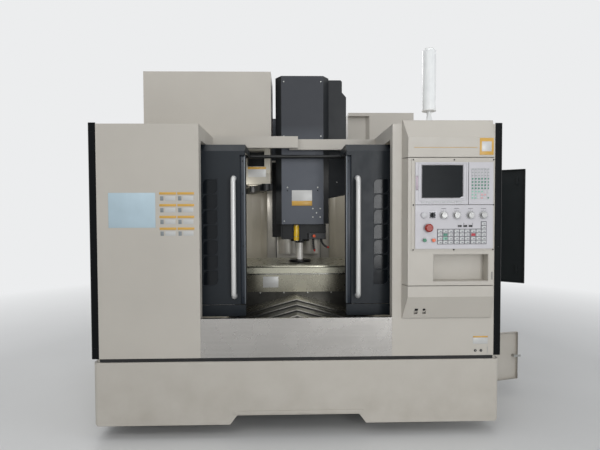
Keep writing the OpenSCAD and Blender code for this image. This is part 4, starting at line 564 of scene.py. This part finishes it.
def bow_handle(name, x, body, node):
    """Bent round bar on two feet, swept along its path, with turned flanges at the door."""
    r, bend, reach, low, high = 15, 30, 52, 812, 1534
    foot_y = DOOR_Y + 0.5
    bar_y, quarter = foot_y - (reach - bend), math.radians(-90)
    bm = bmesh.new()
    ring = bmesh.ops.create_circle(bm, cap_ends=False, segments=28, radius=r * MM,
                                   matrix=Matrix.Translation(Vector((x, foot_y, low)) * MM) @ turned(FRONT))
    edges = list({e for v in ring["verts"] for e in v.link_edges})

    def push(edges, vec):
        made = bmesh.ops.extrude_edge_only(bm, edges=edges)
        moved = only(bmesh.types.BMVert, made)
        bmesh.ops.translate(bm, verts=moved, vec=Vector(vec) * MM)
        return [e for e in only(bmesh.types.BMEdge, made) if all(v in set(moved) for v in e.verts)]

    def bent(edges, centre, angle):
        made = bmesh.ops.spin(bm, geom=edges + list({v for e in edges for v in e.verts}),
                              cent=Vector(centre) * MM, axis=(1, 0, 0), dvec=(0, 0, 0), angle=angle, steps=10,
                              use_merge=False, use_duplicate=False)
        return only(bmesh.types.BMEdge, made, "geom_last")

    edges = push(edges, (0, -(reach - bend), 0))
    edges = bent(edges, (x, bar_y, low + bend), quarter)
    edges = push(edges, (0, 0, high - low - 2 * bend))
    edges = bent(edges, (x, bar_y, high - bend), quarter)
    push(edges, (0, reach - bend, 0))
    bmesh.ops.recalc_face_normals(bm, faces=bm.faces)
    bar = piece(name, bm, "white_handle", body, 50)
    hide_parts(node)
    rods(name + "_flanges", "door_edge", "handle_chrome", [(x, DOOR_Y + 0.2, z) for z in (low, high)], FRONT,
         18.5, 3.5, body, edge=1.2, sides=28)


for side, x_in, body in ((-1, LEFT_IN, "left_door"), (1, RIGHT_IN, "right_door")):
    door_windows(side, x_in, body)
    door_trim(side, x_in, body)
bow_handle("left_bow", -415, "left_door", "left_handle")
bow_handle("right_bow", 339, "right_door", "right_handle")


# Console

KEY_Y = -1229
PLATE_Y = -1223
CAP_Y = -1220
KNOB_XS, KNOB_Z = (796, 870, 949, 1023), 1307
SCALE_MARKS, SCALE_R = 11, 26
ROUND = 40
# Middle, outer and inner radius of the collars: pilot lamp, selector, green, orange and stop button
SWITCHES = ((683, KNOB_Z, 19.5, 13), (732, KNOB_Z, 19, 15.6), (687, 1165, 15.5, 11),
            (738, 1165, 15.5, 11), (707, 1235, 25, 16))
LOCK_XS, LOCK_Z = (1016, 1050), 506
SLOPE_LOW, SLOPE_HIGH = 703, 839


def key_tops(name, spots, half_w, half_h, key):
    """Thin caps printed on the keys."""
    y = KEY_Y - 3
    bm = bmesh.new()
    for x, z in spots:
        add_block(bm, x - half_w, x + half_w, y - 0.35, y + 0.2, z - half_h, z + half_h)
    piece(name, bm, key, round_angle=20)


def console_face():
    pitch = 18
    keypad = [[(959 + i * pitch, 1404 + (9 - j) * pitch) for i in range(6)] for j in range(10)]
    key_tops("keypad_letter_legends", sum(keypad[:3], []), 4.6, 3.4, "key_pale_print")
    key_tops("keypad_number_legends", [p for row in keypad[3:7] for p in row[:5]], 4.6, 4.6, "key_green")
    key_tops("keypad_mint_legends", keypad[7][:4] + keypad[8][:2] + keypad[9][:2], 4.6, 4.4, "key_mint")
    key_tops("keypad_pink_legends", keypad[8][3:5] + [keypad[9][3]], 4.6, 4.4, "key_pink")
    key_tops("keypad_dark_legends", [keypad[9][5]] + [row[5] for row in keypad[3:7]], 3.6, 4.2, "key_green")

    # Operator keys by block, column and row, with two more keys above the third block
    def key_spot(b, i, j):
        return (775.5 + b * 95 + i * 30, 1153.5 + j * 21)

    places = [(b, i, j) for b in range(3) for i in range(3) for j in range(4)] + [(2, 2, 4), (2, 2, 5)]
    tinted = {"green": (0, 1, 2), "mint": (0, 1, 1), "red": (2, 0, 2)}
    legends = [key_spot(*place) for place in places if place not in (tinted["green"], tinted["red"])]
    key_tops("operator_key_legends", [(x + 3, z - 2) for x, z in legends], 5.5, 2.6, "key_print")
    lamps = [key_spot(*place) for place in places]
    key_tops("operator_key_lamps", [(x - 8.5, z + 4.8) for x, z in lamps], 1.3, 1.3, "key_green")
    for tint, place in tinted.items():
        key_tops("operator_key_" + tint, [key_spot(*place)], 11.5, 7.5, "key_" + tint)
    key_tops("soft_key_legends", [(676.5 + i * 20, 1381) for i in range(12)], 4, 1, "key_print")

    blocks("key_surrounds", "key_mat", "key_plastic",
           *[(759 + b * 95, 852 + b * 95, KEY_Y - 0.9, KEY_Y - 0.1, 1141, 1229) for b in range(3)],
           (1009, 1042, KEY_Y - 0.9, KEY_Y - 0.1, 1228, 1271))

    # Display: white inner frame, black rim and corner tab
    band("display_frame_bead", "bezel", upright(652, 925, 1388, 1600, KEY_Y - 0.1), 8, FRONT, 1.2)
    band("display_rim", "screen_rim", upright(668, 908, 1401, 1593, KEY_Y - 0.1), 6, FRONT, 2.2)
    tab = bmesh.new()
    add_outline(tab, [(x, KEY_Y - 1, z) for x, z in ((882, 1402), (908, 1402), (908, 1412), (897, 1411))], FRONT,
                1.6)
    piece("display_corner_tab", tab, "bezel")
    blocks("console_plate_joints", "seam", "drive_plastic",
           *[(636, 650, KEY_Y - 0.6, KEY_Y + 0.2, z - 0.6, z + 0.6) for z in (1450, 1528)],
           (936.6, 938.4, KEY_Y - 0.4, KEY_Y + 5, 1368, 1605),
           (636, 1077, KEY_Y - 0.2, KEY_Y + 5, 1364.6, 1366.4))

    # Scales round the knobs, and the collars of knobs and switches
    ticks, rings = bmesh.new(), bmesh.new()
    for x in KNOB_XS:
        add_rod(rings, (x, KEY_Y - 0.1, KNOB_Z), FRONT, 24, 0.9, edge=0.3, sides=ROUND)
        for k in range(SCALE_MARKS):
            turn = math.radians(-135 + k * 27)
            long = 5 if k % 5 == 0 else 3
            matrix = (Matrix.Translation(Vector((x, KEY_Y - 0.3, KNOB_Z)) * MM) @ Matrix.Rotation(turn, 4, "Y")
                      @ Matrix.Translation(Vector((0, 0, SCALE_R + long / 2)) * MM)
                      @ Matrix.Diagonal((0.9 * MM, 0.6 * MM, long * MM, 1)))
            bmesh.ops.create_cube(ticks, size=1, matrix=matrix)
        add_block(ticks, x - 14, x + 14, KEY_Y - 0.5, KEY_Y, 1343, 1345.5)
    for x, z in ((718, 1321), (746, 1321), (718, 1293), (746, 1293)):
        add_block(ticks, x - 3, x + 3, KEY_Y - 0.9, KEY_Y, z - 3, z + 3)
    for x in (910, 913, 960, 963):
        add_block(ticks, x - 0.6, x + 0.6, KEY_Y - 0.5, KEY_Y, 1250, 1262)
    piece("knob_scales", ticks, "key_mat")
    for x, z, outer, inner in SWITCHES:
        turns = [k * math.tau / ROUND for k in range(ROUND)]
        add_band(rings, [(x + outer * math.cos(turn), KEY_Y - 0.1, z + outer * math.sin(turn)) for turn in turns],
                 outer - inner, FRONT, 0.9)
    piece("switch_collars", rings, "collar")
    blocks("switch_plate", "bezel", "plate_paint", (708, 756, KEY_Y - 0.45, KEY_Y, 1283, 1331, 0.2))
    rods("pilot_lamp_lens", "pilot", "lamp_plastic", [(683, KEY_Y - 8, KNOB_Z)], FRONT, 14.5, 3, edge=1.2,
         sides=ROUND)
    blocks("display_side_patch", "patch", "plate_paint", (636.5, 650, KEY_Y - 0.5, KEY_Y, 1451, 1527, 0.1))
    blocks("small_readout_windows", "screen_rim", "display_glass",
           *[(x, x + 21, KEY_Y - 2.6, KEY_Y - 1.9, 1239.5, 1250.5, 0.2) for x in (877.5, 908.5, 939.5)])
    spots = [(x, z) for z in (1110, 1365, 1620) for x in (624, 857, 1082) if (x, z) != (857, 1365)]
    screws("plate_screws", [(x, PLATE_Y - 2.4, z) for x, z in spots], FRONT, 4.2, "black_oxide")


def console_trim():
    # Connector plate on the lower slope, its sockets and their screws
    low, high = Vector((0, -1150.3, SLOPE_LOW)), Vector((0, CAP_Y, SLOPE_HIGH))
    along = (high - low).normalized()
    outward = along.cross(Vector((1, 0, 0))).normalized()
    if outward.y > 0:
        outward = -outward
    middle = low.lerp(high, 0.42)
    turn = Matrix((Vector((1, 0, 0)), along, outward)).transposed().to_4x4()
    seat = Matrix.Translation(middle * MM) @ turn
    blocks("connector_plate", "cream", "cream_paint", (638, 719, -22, 22, -0.6, 1.4, 0.5), on=seat)
    sockets = bmesh.new()
    add_block(sockets, 645, 667, -8, 8, 1, 4, 1.6)
    add_rod(sockets, (700, 0, 1), UP, 8.5, 3.4, edge=0.8)
    piece("connector_sockets", sockets, "black", on=seat)
    band("connector_rims", "alu",
         [(642, -11, 1.2), (670, -11, 1.2), (670, 11, 1.2), (642, 11, 1.2)], 3, UP, 2, on=seat)
    screws("connector_screws", [(x, y, 1.2) for y in (17, -17) for x in (643, 714)], UP, 3.4, "black_oxide", on=seat)
    # Corner sheets that close the slopes of the cap and the lower box at both ends
    corners = bmesh.new()
    end_y = -1158
    for edge_z, end_z in ((1748, 1855), (SLOPE_HIGH, SLOPE_LOW)):
        rise = end_z - edge_z
        inward = (0, abs(rise), CAP_Y - end_y if rise > 0 else end_y - CAP_Y)
        for side_x, out in ((596, -16.6), (1088, 16.6)):
            add_outline(corners, [(side_x, CAP_Y, edge_z), (side_x, end_y, end_z), (side_x + out, end_y, end_z)],
                        inward, 2)
    piece("console_corner_sheets", corners, "cream")
    # Bare gold-edged plate and line on the cap, two quarter-turn locks, pocket rim and vents
    blocks("cap_plate_border", "label_gold", "plate_paint", (1003, 1083, CAP_Y - 0.9, CAP_Y, 1648, 1744, 0.3))
    blocks("cap_plate", "label", "plate_paint", (1015, 1071, CAP_Y - 1.4, CAP_Y - 0.7, 1668, 1724, 0.2))
    blocks("cap_gold_line", "label_gold", "plate_paint", (628, 990, CAP_Y - 0.7, CAP_Y, 1689.5, 1692, 0.2))
    rods("lower_sheet_locks", "black", "drive_plastic", [(x, FRONT_Y + 2.9, LOCK_Z) for x in LOCK_XS], FRONT, 8,
         5.5, edge=1, sides=28)
    blocks("lock_keyways", "zinc", "zinc_steel",
           *[(x - 0.9, x + 0.9, FRONT_Y - 3.4, FRONT_Y - 2, LOCK_Z - 5, LOCK_Z + 5) for x in LOCK_XS],
           (1088, 1091, FRONT_Y - 0.8, FRONT_Y, 486, 527))
    band("pocket_rim", "cream", upright(741, 1058, 928, 1084, CAP_Y + 0.2), 2.6, FRONT, 1.4)
    blocks("console_side_vents", "key_mat", "drive_plastic",
           *[(1074, 1084, CAP_Y - 0.6, CAP_Y, z, z + 2.4) for z in range(938, 983, 5)])


console_face()
console_trim()


# Front sheets

def front_sheets():
    on_sheet = (FRONT_Y - 0.8, FRONT_Y)
    blocks("left_sheet_plate_blue", "label_blue", "plate_paint", (-1117, -849, *on_sheet, 1240, 1441, 0.3))
    spots = [(left, 1444 - row * 67.7) for left in (-826, -723) for row in range(4)]
    blocks("sheet_plates", "label", "plate_paint",
           *[(x + 33, x + 91, *on_sheet, top - 48, top - 22, 0.2) for x, top in spots],
           (1002, 1090, *on_sheet, 546, 592, 0.3))
    blocks("sheet_plate_gold_bands", "label_gold", "plate_paint",
           *[(x, x + 97, *on_sheet, top - 14, top, 0.2) for x, top in spots],
           (1002, 1090, FRONT_Y - 1.2, FRONT_Y - 0.7, 583, 592, 0.2))
    blocks("sheet_plate_grey_squares", "key_print", "plate_paint",
           *[(x + 5, x + 24, *on_sheet, top - 48, top - 23, 0.2) for x, top in spots])
    # Dark rubber strip in the joint between the front sheets and the skirt: painted shade in the recessed gap
    blocks("skirt_joint_shade_strip", "rubber", "drive_black",
           (LEFT_X + 48, RIGHT_X - 48, FRONT_Y + 6, FRONT_Y + 17, 458, 477))
    for name, points, axis, r in (
            ("left_wall", [(LEFT_X, y, z) for y in (-990, -620, -250, 120, 340) for z in (520, 1790)], LEFT, 5),
            ("right_wall", [(RIGHT_X, y, z) for y in (-990, -700, 260, 340) for z in (520, 1790)], RIGHT, 5),
            ("roof", [(x, y, PANEL_TOP) for x in (-1200, -900, 800, 1140) for y in (-1060, -420, 320)], UP, 5),
            ("skirt", [(-1220, y, z) for y in (-1000, -500, 0, 500, 820) for z in (120, 430)], LEFT, 5),
            ("post", [(x, FRONT_Y + 0.2, z) for x in (-1207, 1147) for z in (540, 1120, 1790)], FRONT, 3.4),
            ("apron", [(x, FRONT_Y, 694) for x in (-580, 504)], FRONT, 4)):
        screws(name + "_screws", points, axis, r, "black_oxide" if name == "post" else "zinc")


front_sheets()


# Head

COVER_X, COVER_Y = 16, -575
SPINDLE_Y = -395
HOSE_Y = -547
VALVE_X = -28


def head_parts():
    blocks("head_cover_plate", "label", "plate_paint", (-60, 83, COVER_Y - 1, COVER_Y, 1371, 1480, 0.3), body="head")
    blocks("head_cover_plate_band", "label_gold", "plate_paint",
           (-60, 83, COVER_Y - 1.5, COVER_Y - 0.8, 1371, 1405, 0.2), body="head")
    points = [(-107, 1500), (107, 1500), (72, 1350), (124, 1350), (98, 1320), (72, 1290), (124, 1290), (-130, 1262),
              (-130, 2240), (130, 2240), (-130, 1860), (130, 1860)]
    screws("head_cover_screws", [(x + COVER_X, COVER_Y, z) for x, z in points], FRONT, 5.4, "zinc", "head")
    screws("head_duct_screw", [(COVER_X + 250.3, -500, 1540)], FRONT, 5.4, "zinc", "head")
    blocks("head_cover_low_bead", "black_oxide", "drive_black",
           (COVER_X - 146, COVER_X + 146, COVER_Y + 0.5, COVER_Y + 6, 1236.5, 1240.5, 0.8), body="head")
    bolts = [(x, -515, z) for x in (-112, 112) for z in (1160, 1215)]
    screws("headstock_bolts", bolts, FRONT, 8, "black_oxide", "head")
    turns = [math.radians(22.5 + k * 45) for k in range(8)]
    rods("spindle_nose_bolts", "zinc", "ground_steel",
         [(58 * math.cos(turn), SPINDLE_Y + 58 * math.sin(turn), 1112.4) for turn in turns], DOWN, 4.4, 3, "head",
         sides=12, edge=0.6)
    valve = bmesh.new()
    add_rod(valve, (VALVE_X, HOSE_Y, 1121), UP, 18.6, 112, edge=1.6, sides=ROUND)
    add_rod(valve, (VALVE_X, HOSE_Y, 1233.2), UP, 18.4, 6, r2=12, sides=ROUND)
    piece("air_valve_body", valve, "yellow", "head")
    rods("air_valve_rings", "zinc", "zinc_steel", [(VALVE_X, HOSE_Y, z) for z in (1121.5, 1150, 1226)], UP,
         19.3, 3, "head", edge=0.8, sides=ROUND)
    tap = bmesh.new()
    add_rod(tap, (96, -581.2, 1156), FRONT, 10.5, 14, edge=2, sides=12)
    add_block(tap, 90, 102, -597, -588, 1151, 1161, 1.5)
    piece("coolant_tap_knob", tap, "tap_orange", "head")


def nozzle_tips():
    """Red tips on the ends of the two jointed hoses, along the hoses' arcs."""
    bm = bmesh.new()
    joints, joint_l = 6, 12.9
    for x, r in ((90, 300), (150, 62)):
        turn = joint_l / r
        spin = Matrix.Rotation(-joints * turn, 4, "Y")
        matrix = (Matrix.Translation(Vector((x + r, HOSE_Y, 1134)) * MM) @ spin
                  @ Matrix.Translation(Vector((-r, 0, 0)) * MM))
        bmesh.ops.create_cone(bm, cap_ends=True, segments=20, radius1=4.4 * MM, radius2=9.2 * MM,
                              depth=15 * MM, matrix=matrix @ Matrix.Translation(Vector((0, 0, -6)) * MM))
    piece("coolant_nozzle_tips", bm, "tip_red", "head")


def arbor_parts():
    disc = bmesh.new()
    add_rod(disc, (0, SPINDLE_Y, 955.4), UP, 80.8, 13.2, edge=1.6, sides=64)
    add_rod(disc, (0, SPINDLE_Y, 968.4), UP, 30, 5, edge=1, sides=48)
    piece("arbor_disc", disc, "black_oxide", "spindle")
    rods("arbor_collar", "black_oxide", "drive_black", [(0, SPINDLE_Y, 1098)], UP, 33, 13.6, "spindle", edge=1.6,
         sides=48)


head_parts()
nozzle_tips()
arbor_parts()


# Table, saddle and way covers

LANE_X = -35
GABLE_SLOPE = math.tan(math.radians(15))
GUARD_Y = -625
# Body, half width, ridge height and front edge of the front way covers
WAY_COVERS = (
    ("frame", 375, 719, -1120), ("front_cover_1", 380, 731, -1018.7), ("front_cover_2", 385, 743, -917.3),
    ("saddle", 390, 755, -816))


def gable_strip(half, top, y0, y1, thick):
    """A strip bent over the ridge of a way cover, in mm."""
    bm = bmesh.new()
    upper = [(LANE_X + u, y0, top - abs(u) * GABLE_SLOPE) for u in (-half, 0, half)]
    lower = [(x, y, z - thick) for x, y, z in reversed(upper)]
    add_outline(bm, upper + lower, REAR, y1 - y0)
    return bm


def way_cover_parts():
    for body, half, top, y in WAY_COVERS:
        wiper = gable_strip(half - 1, top - 7, y - 1.6, y - 0.1, 4.6)
        piece(body + "_cover_wiper", wiper, "rubber", body)
        lip = gable_strip(half, top, y - 1.2, y - 0.05, 5.4)
        piece(body + "_cover_lip", lip, "lip_steel", body, 20)


def saddle_parts():
    screws("guard_screws", [(LANE_X + k * 165, -628, 764) for k in (-1.5, -0.5, 0.5, 1.5)], FRONT, 5.6,
           "zinc", "saddle")
    # Dark sheet over the flange under the guard: painted shade below the guard's lower edge
    flange = bmesh.new()
    half, top, ridge = 388, 769, 754.5
    low = ridge - half * GABLE_SLOPE
    add_outline(flange, [(LANE_X + x, GUARD_Y - 0.1, z) for x, z in
                         ((-half, top), (-half, low), (0, ridge), (half, low), (half, top))], FRONT, 0.7)
    piece("guard_flange_shade_plate", flange, "flange_shade_steel", "saddle", 20)
    blocks("guard_plate", "label", "plate_paint", (-264, -157, GUARD_Y - 0.9, GUARD_Y, 800, 876, 0.3), body="saddle")
    blocks("guard_top_bead", "steel", "ground_steel", (-620, 620, GUARD_Y - 3.4, GUARD_Y, 890, 896, 1.2),
           body="saddle")


def table_parts():
    blocks("table_front_ground_strip", "table_iron", "table_iron", (-499, 499, -631.5, -630.9, 938, 951.2, 0.2),
           body="table")
    rods("table_drain_plugs", "zinc", "zinc_steel", [(x, -617, 945) for x in (-470, 470)], DOWN, 4, 2,
         "table", sides=16)
    for side, body in ((-1, "x_cover_left"), (1, "x_cover_right")):
        low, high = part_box(body)
        x = (high.x if side < 0 else low.x) / MM
        blocks(body + "_wiper", "rubber", "drive_black",
               (min(x, x - side * 0.6), max(x, x - side * 0.6) + 0.1, low.y / MM + 6, high.y / MM - 6,
                low.z / MM + 8, high.z / MM - 3), body=body)


def closing_sheets():
    """Thin sheets at both sides: beside the column, on its front, under the side walls and chip slopes."""
    for name, key, slot, spans, rest in (
            ("rear_wall_seals", "liner", "liner_paint", ((-330, -276), (276, 330)), (239, 243.4, 762, 1814, 0.6)),
            ("column_front_sheets", "z_cover", "liner_paint", ((-279, -198), (198, 279)),
             (247.6, 249.8, 880, 1780, 0.4)),
            ("side_wall_feet", "cream", "cream_paint", ((-1226.5, -1199.5), (1139.5, 1166.5)),
             (-1015, 366, 478.1, 479.5)),
            ("chip_channel_walls", "liner", "liner_paint", ((-506.6, -503), (503, 506.6)),
             (-1118, 240, 300, 599.5))):
        blocks(name, key, slot, *[(x0, x1, *rest) for x0, x1 in spans])


def cam_box_parts():
    blocks("cam_box_plate", "label", "plate_paint", (-371, -243, -541, -540, 1576, 1648, 0.3))
    blocks("cam_box_plate_band", "label_gold", "plate_paint", (-371, -243, -541.4, -540.8, 1632, 1648, 0.2))
    blocks("cam_box_port_lining", "black_oxide", "drive_black", (-377, -256, -472, -470.2, 1653, 1762))


closing_sheets()
cam_box_parts()
way_cover_parts()
saddle_parts()
table_parts()


# Beacon, cabinet, side doors

BEACON_X, BEACON_Y = 761, -1060


def beacon_parts():
    cap = bmesh.new()
    add_rod(cap, (BEACON_X, BEACON_Y, 2294.1), UP, 27.5, 5, edge=1.6, sides=48)
    add_rod(cap, (BEACON_X, BEACON_Y, 1927), UP, 41.2, 9, edge=1.6, sides=64)
    piece("beacon_rings", cap, "lamp_cap")
    turns = [math.radians(90 + 120 * k) for k in range(3)]
    rods("beacon_foot_screws", "zinc", "zinc_steel",
         [(BEACON_X + 34 * math.cos(turn), BEACON_Y + 34 * math.sin(turn), 1842.2) for turn in turns], UP, 3.4, 2.4,
         sides=12)


def cabinet_parts():
    back = 886.3
    rods("cabinet_hinges", "black", "drive_black", [(1080, back + 1, z) for z in (580, 1310, 2040)], UP, 8,
         80, edge=1, sides=20)
    blocks("cabinet_swing_handle", "black", "drive_black", (508, 534, back - 0.5, back + 5, 1290, 1410, 2),
           (514, 528, back + 4, back + 13, 1300, 1372, 3))
    band("cabinet_door_bead", "cream", upright(500, 1062, 480, 2222, back), 8, REAR, 2)


def hung(hinge, degrees):
    """Place of a hinged door: its hinge's foot in mm and how far it stands open."""
    return Matrix.Translation(Vector(hinge) * MM) @ Matrix.Rotation(math.radians(degrees), 4, "Z")


def door_seal(body, y, z, wide, thick, place):
    """Rubber round the inner side of a hinged door, from its hinge to y and up to z."""
    band(body + "_seal", "rubber", [(0.2, y, 4), (0.2, -4, 4), (0.2, -4, z), (0.2, y, z)], wide, LEFT,
         thick, body=body, on=place)


def side_door_parts():
    place = hung((1178, 184, 752), 55)
    panes, beads = bmesh.new(), bmesh.new()
    wide, r = 70, 22
    for i, j in PANE_PLACES:
        y0, z0 = i * 95 - 530, 663 - j * 77
        add_outline(panes, [(23, y0 + 0.5 + u, z0 + 0.5 + v) for u, v in leaf_outline(wide - 1, r)], RIGHT, 3)
        add_band(beads, [(27.9, y0 + u, z0 + v) for u, v in leaf_outline(wide, r, 3)], 4, RIGHT, 1.6)
    # The side door's panes get the pale glass with the painted reflection
    piece("side_door_panes", panes, "pane_painted_reflection", "side_door", on=place)
    piece("side_door_pane_beads", beads, "bead", "side_door", on=place)
    door_seal("side_door", -736, 904, 9, 4, place)


beacon_parts()
cabinet_parts()
side_door_parts()
door_seal("service_door", -426, 339, 8, 3, hung((1166, -650, 105), 104))


# Floor, lamps and camera

BACKGROUND = srgb(236, 237, 238)
HALL_LIGHT = (0.93, 0.96, 1.0, 1.0)
STANDPOINT = (-78.6, -3759.7, 1332.7)


def seen_rays(tree):
    """1 for the rays that should find the pale background: camera, glossy and transmission rays."""
    path = tree.nodes.new("ShaderNodeLightPath")
    found = path.outputs["Is Camera Ray"]
    for name in ("Is Glossy Ray", "Is Transmission Ray"):
        either = tree.nodes.new("ShaderNodeMath")
        either.operation = "MAXIMUM"
        tree.links.new(found, either.inputs[0])
        tree.links.new(path.outputs[name], either.inputs[1])
        found = either.outputs[0]
    return found


def floor_finish():
    """Pale floor that keeps the shadow and runs into the background further out."""
    bench = Bench("pale_floor")
    tone = bench.noise(1.2, 5.0)
    bench.link(bench.mix(tone, srgb(209, 209, 208), srgb(217, 217, 216)), bench.shader.inputs["Base Color"])
    bench.put("Roughness", 0.7)
    reach = bench.node("ShaderNodeVectorMath", operation="LENGTH")
    bench.link(bench.place(), reach.inputs[0])
    outward = bench.span(reach.outputs["Value"], 2.6, 6.0)
    glow = bench.node("ShaderNodeEmission")
    glow.inputs["Color"].default_value = BACKGROUND
    blend = bench.node("ShaderNodeMixShader")
    bench.link(bench.times(outward, seen_rays(bench.tree)), blend.inputs[0])
    bench.link(bench.shader.outputs[0], blend.inputs[1])
    bench.link(glow.outputs[0], blend.inputs[2])
    bench.link(blend.outputs[0], bench.tree.nodes["Material Output"].inputs["Surface"])
    return bench.material


def stage_floor():
    bm = bmesh.new()
    bmesh.ops.create_grid(bm, x_segments=4, y_segments=4, size=14.0)
    mesh = bpy.data.meshes.new("floor")
    bm.to_mesh(mesh)
    bm.free()
    mesh.materials.append(floor_finish())
    floor = bpy.data.objects.new("floor", mesh)
    floor.location.z = cad_box[0][2] - 0.001
    scene.collection.objects.link(floor)


def studio_world():
    world = bpy.data.worlds.new("studio")
    scene.world = world
    world.use_nodes = True
    tree = world.node_tree
    tree.nodes.clear()
    output = tree.nodes.new("ShaderNodeOutputWorld")
    mixed = tree.nodes.new("ShaderNodeMixShader")
    tree.links.new(seen_rays(tree), mixed.inputs[0])
    for socket, colour, strength in ((1, HALL_LIGHT, 0.44), (2, BACKGROUND, 1.0)):
        light = tree.nodes.new("ShaderNodeBackground")
        light.inputs["Color"].default_value = colour
        light.inputs["Strength"].default_value = strength
        tree.links.new(light.outputs[0], mixed.inputs[socket])
    tree.links.new(mixed.outputs[0], output.inputs["Surface"])


def soft_lamp(name, place, target, size, power, colour=EVEN):
    lamp = bpy.data.lights.new(name, "AREA")
    lamp.shape = "RECTANGLE"
    lamp.size, lamp.size_y = size
    lamp.energy = power
    lamp.color = colour
    holder = bpy.data.objects.new(name, lamp)
    holder.location = place
    holder.rotation_euler = (Vector(target) - Vector(place)).to_track_quat("-Z", "Y").to_euler()
    holder.visible_camera = False
    scene.collection.objects.link(holder)


def studio_lamps():
    soft_lamp("hall_light_front", (-1.6, -5.2, 4.6), (0.0, -0.6, 1.1), (4.5, 2.0), 58.0, (1.0, 0.985, 0.96))
    soft_lamp("hall_light_window", (1.8, -6.0, 1.7), (0.3, -0.6, 1.2), (1.2, 2.6), 78.0, (0.98, 0.99, 1.0))
    soft_lamp("hall_light_right", (4.6, -3.6, 3.6), (0.2, -0.6, 1.2), (3.0, 2.0), 22.0, (0.97, 0.985, 1.0))
    soft_lamp("hall_light_top", (0.0, -1.2, 5.2), (0.0, -0.4, 0.8), (5.0, 3.0), 45.0)
    soft_lamp("hall_light_back", (-2.5, 4.4, 4.0), (0.0, 0.2, 1.2), (4.0, 2.0), 80.0)
    soft_lamp("work_light_left", (-0.60, -0.60, 1.46), (-0.34, 0.24, 1.05), (0.4, 0.12), 1.9, (1.0, 0.97, 0.93))
    soft_lamp("work_light_right", (0.64, -0.55, 1.60), (0.28, 0.24, 1.05), (0.3, 0.12), 1.8, (1.0, 0.97, 0.93))


def photo_camera():
    """Camera at the photograph's standpoint."""
    yaw, pitch, roll = 0.0237, 0.0309, 0.0036
    ahead = Vector((math.sin(yaw) * math.cos(pitch), math.cos(yaw) * math.cos(pitch), -math.sin(pitch)))
    right = Vector((math.cos(yaw), -math.sin(yaw), 0.0))
    up = right.cross(ahead)
    rolled_right = right * math.cos(roll) - up * math.sin(roll)
    rolled_up = up * math.cos(roll) + right * math.sin(roll)
    turn = Matrix((rolled_right, rolled_up, -ahead)).transposed().to_4x4()
    lens = bpy.data.cameras.new("photo_camera")
    lens.sensor_fit = "HORIZONTAL"
    lens.sensor_width = 36.0
    lens.lens = 27.0
    lens.clip_end = 60.0
    holder = bpy.data.objects.new("photo_camera", lens)
    holder.matrix_world = Matrix.Translation(Vector(STANDPOINT) * MM) @ turn
    scene.collection.objects.link(holder)
    scene.camera = holder


stage_floor()
studio_world()
studio_lamps()
photo_camera()
scene.view_settings.view_transform = "Standard"
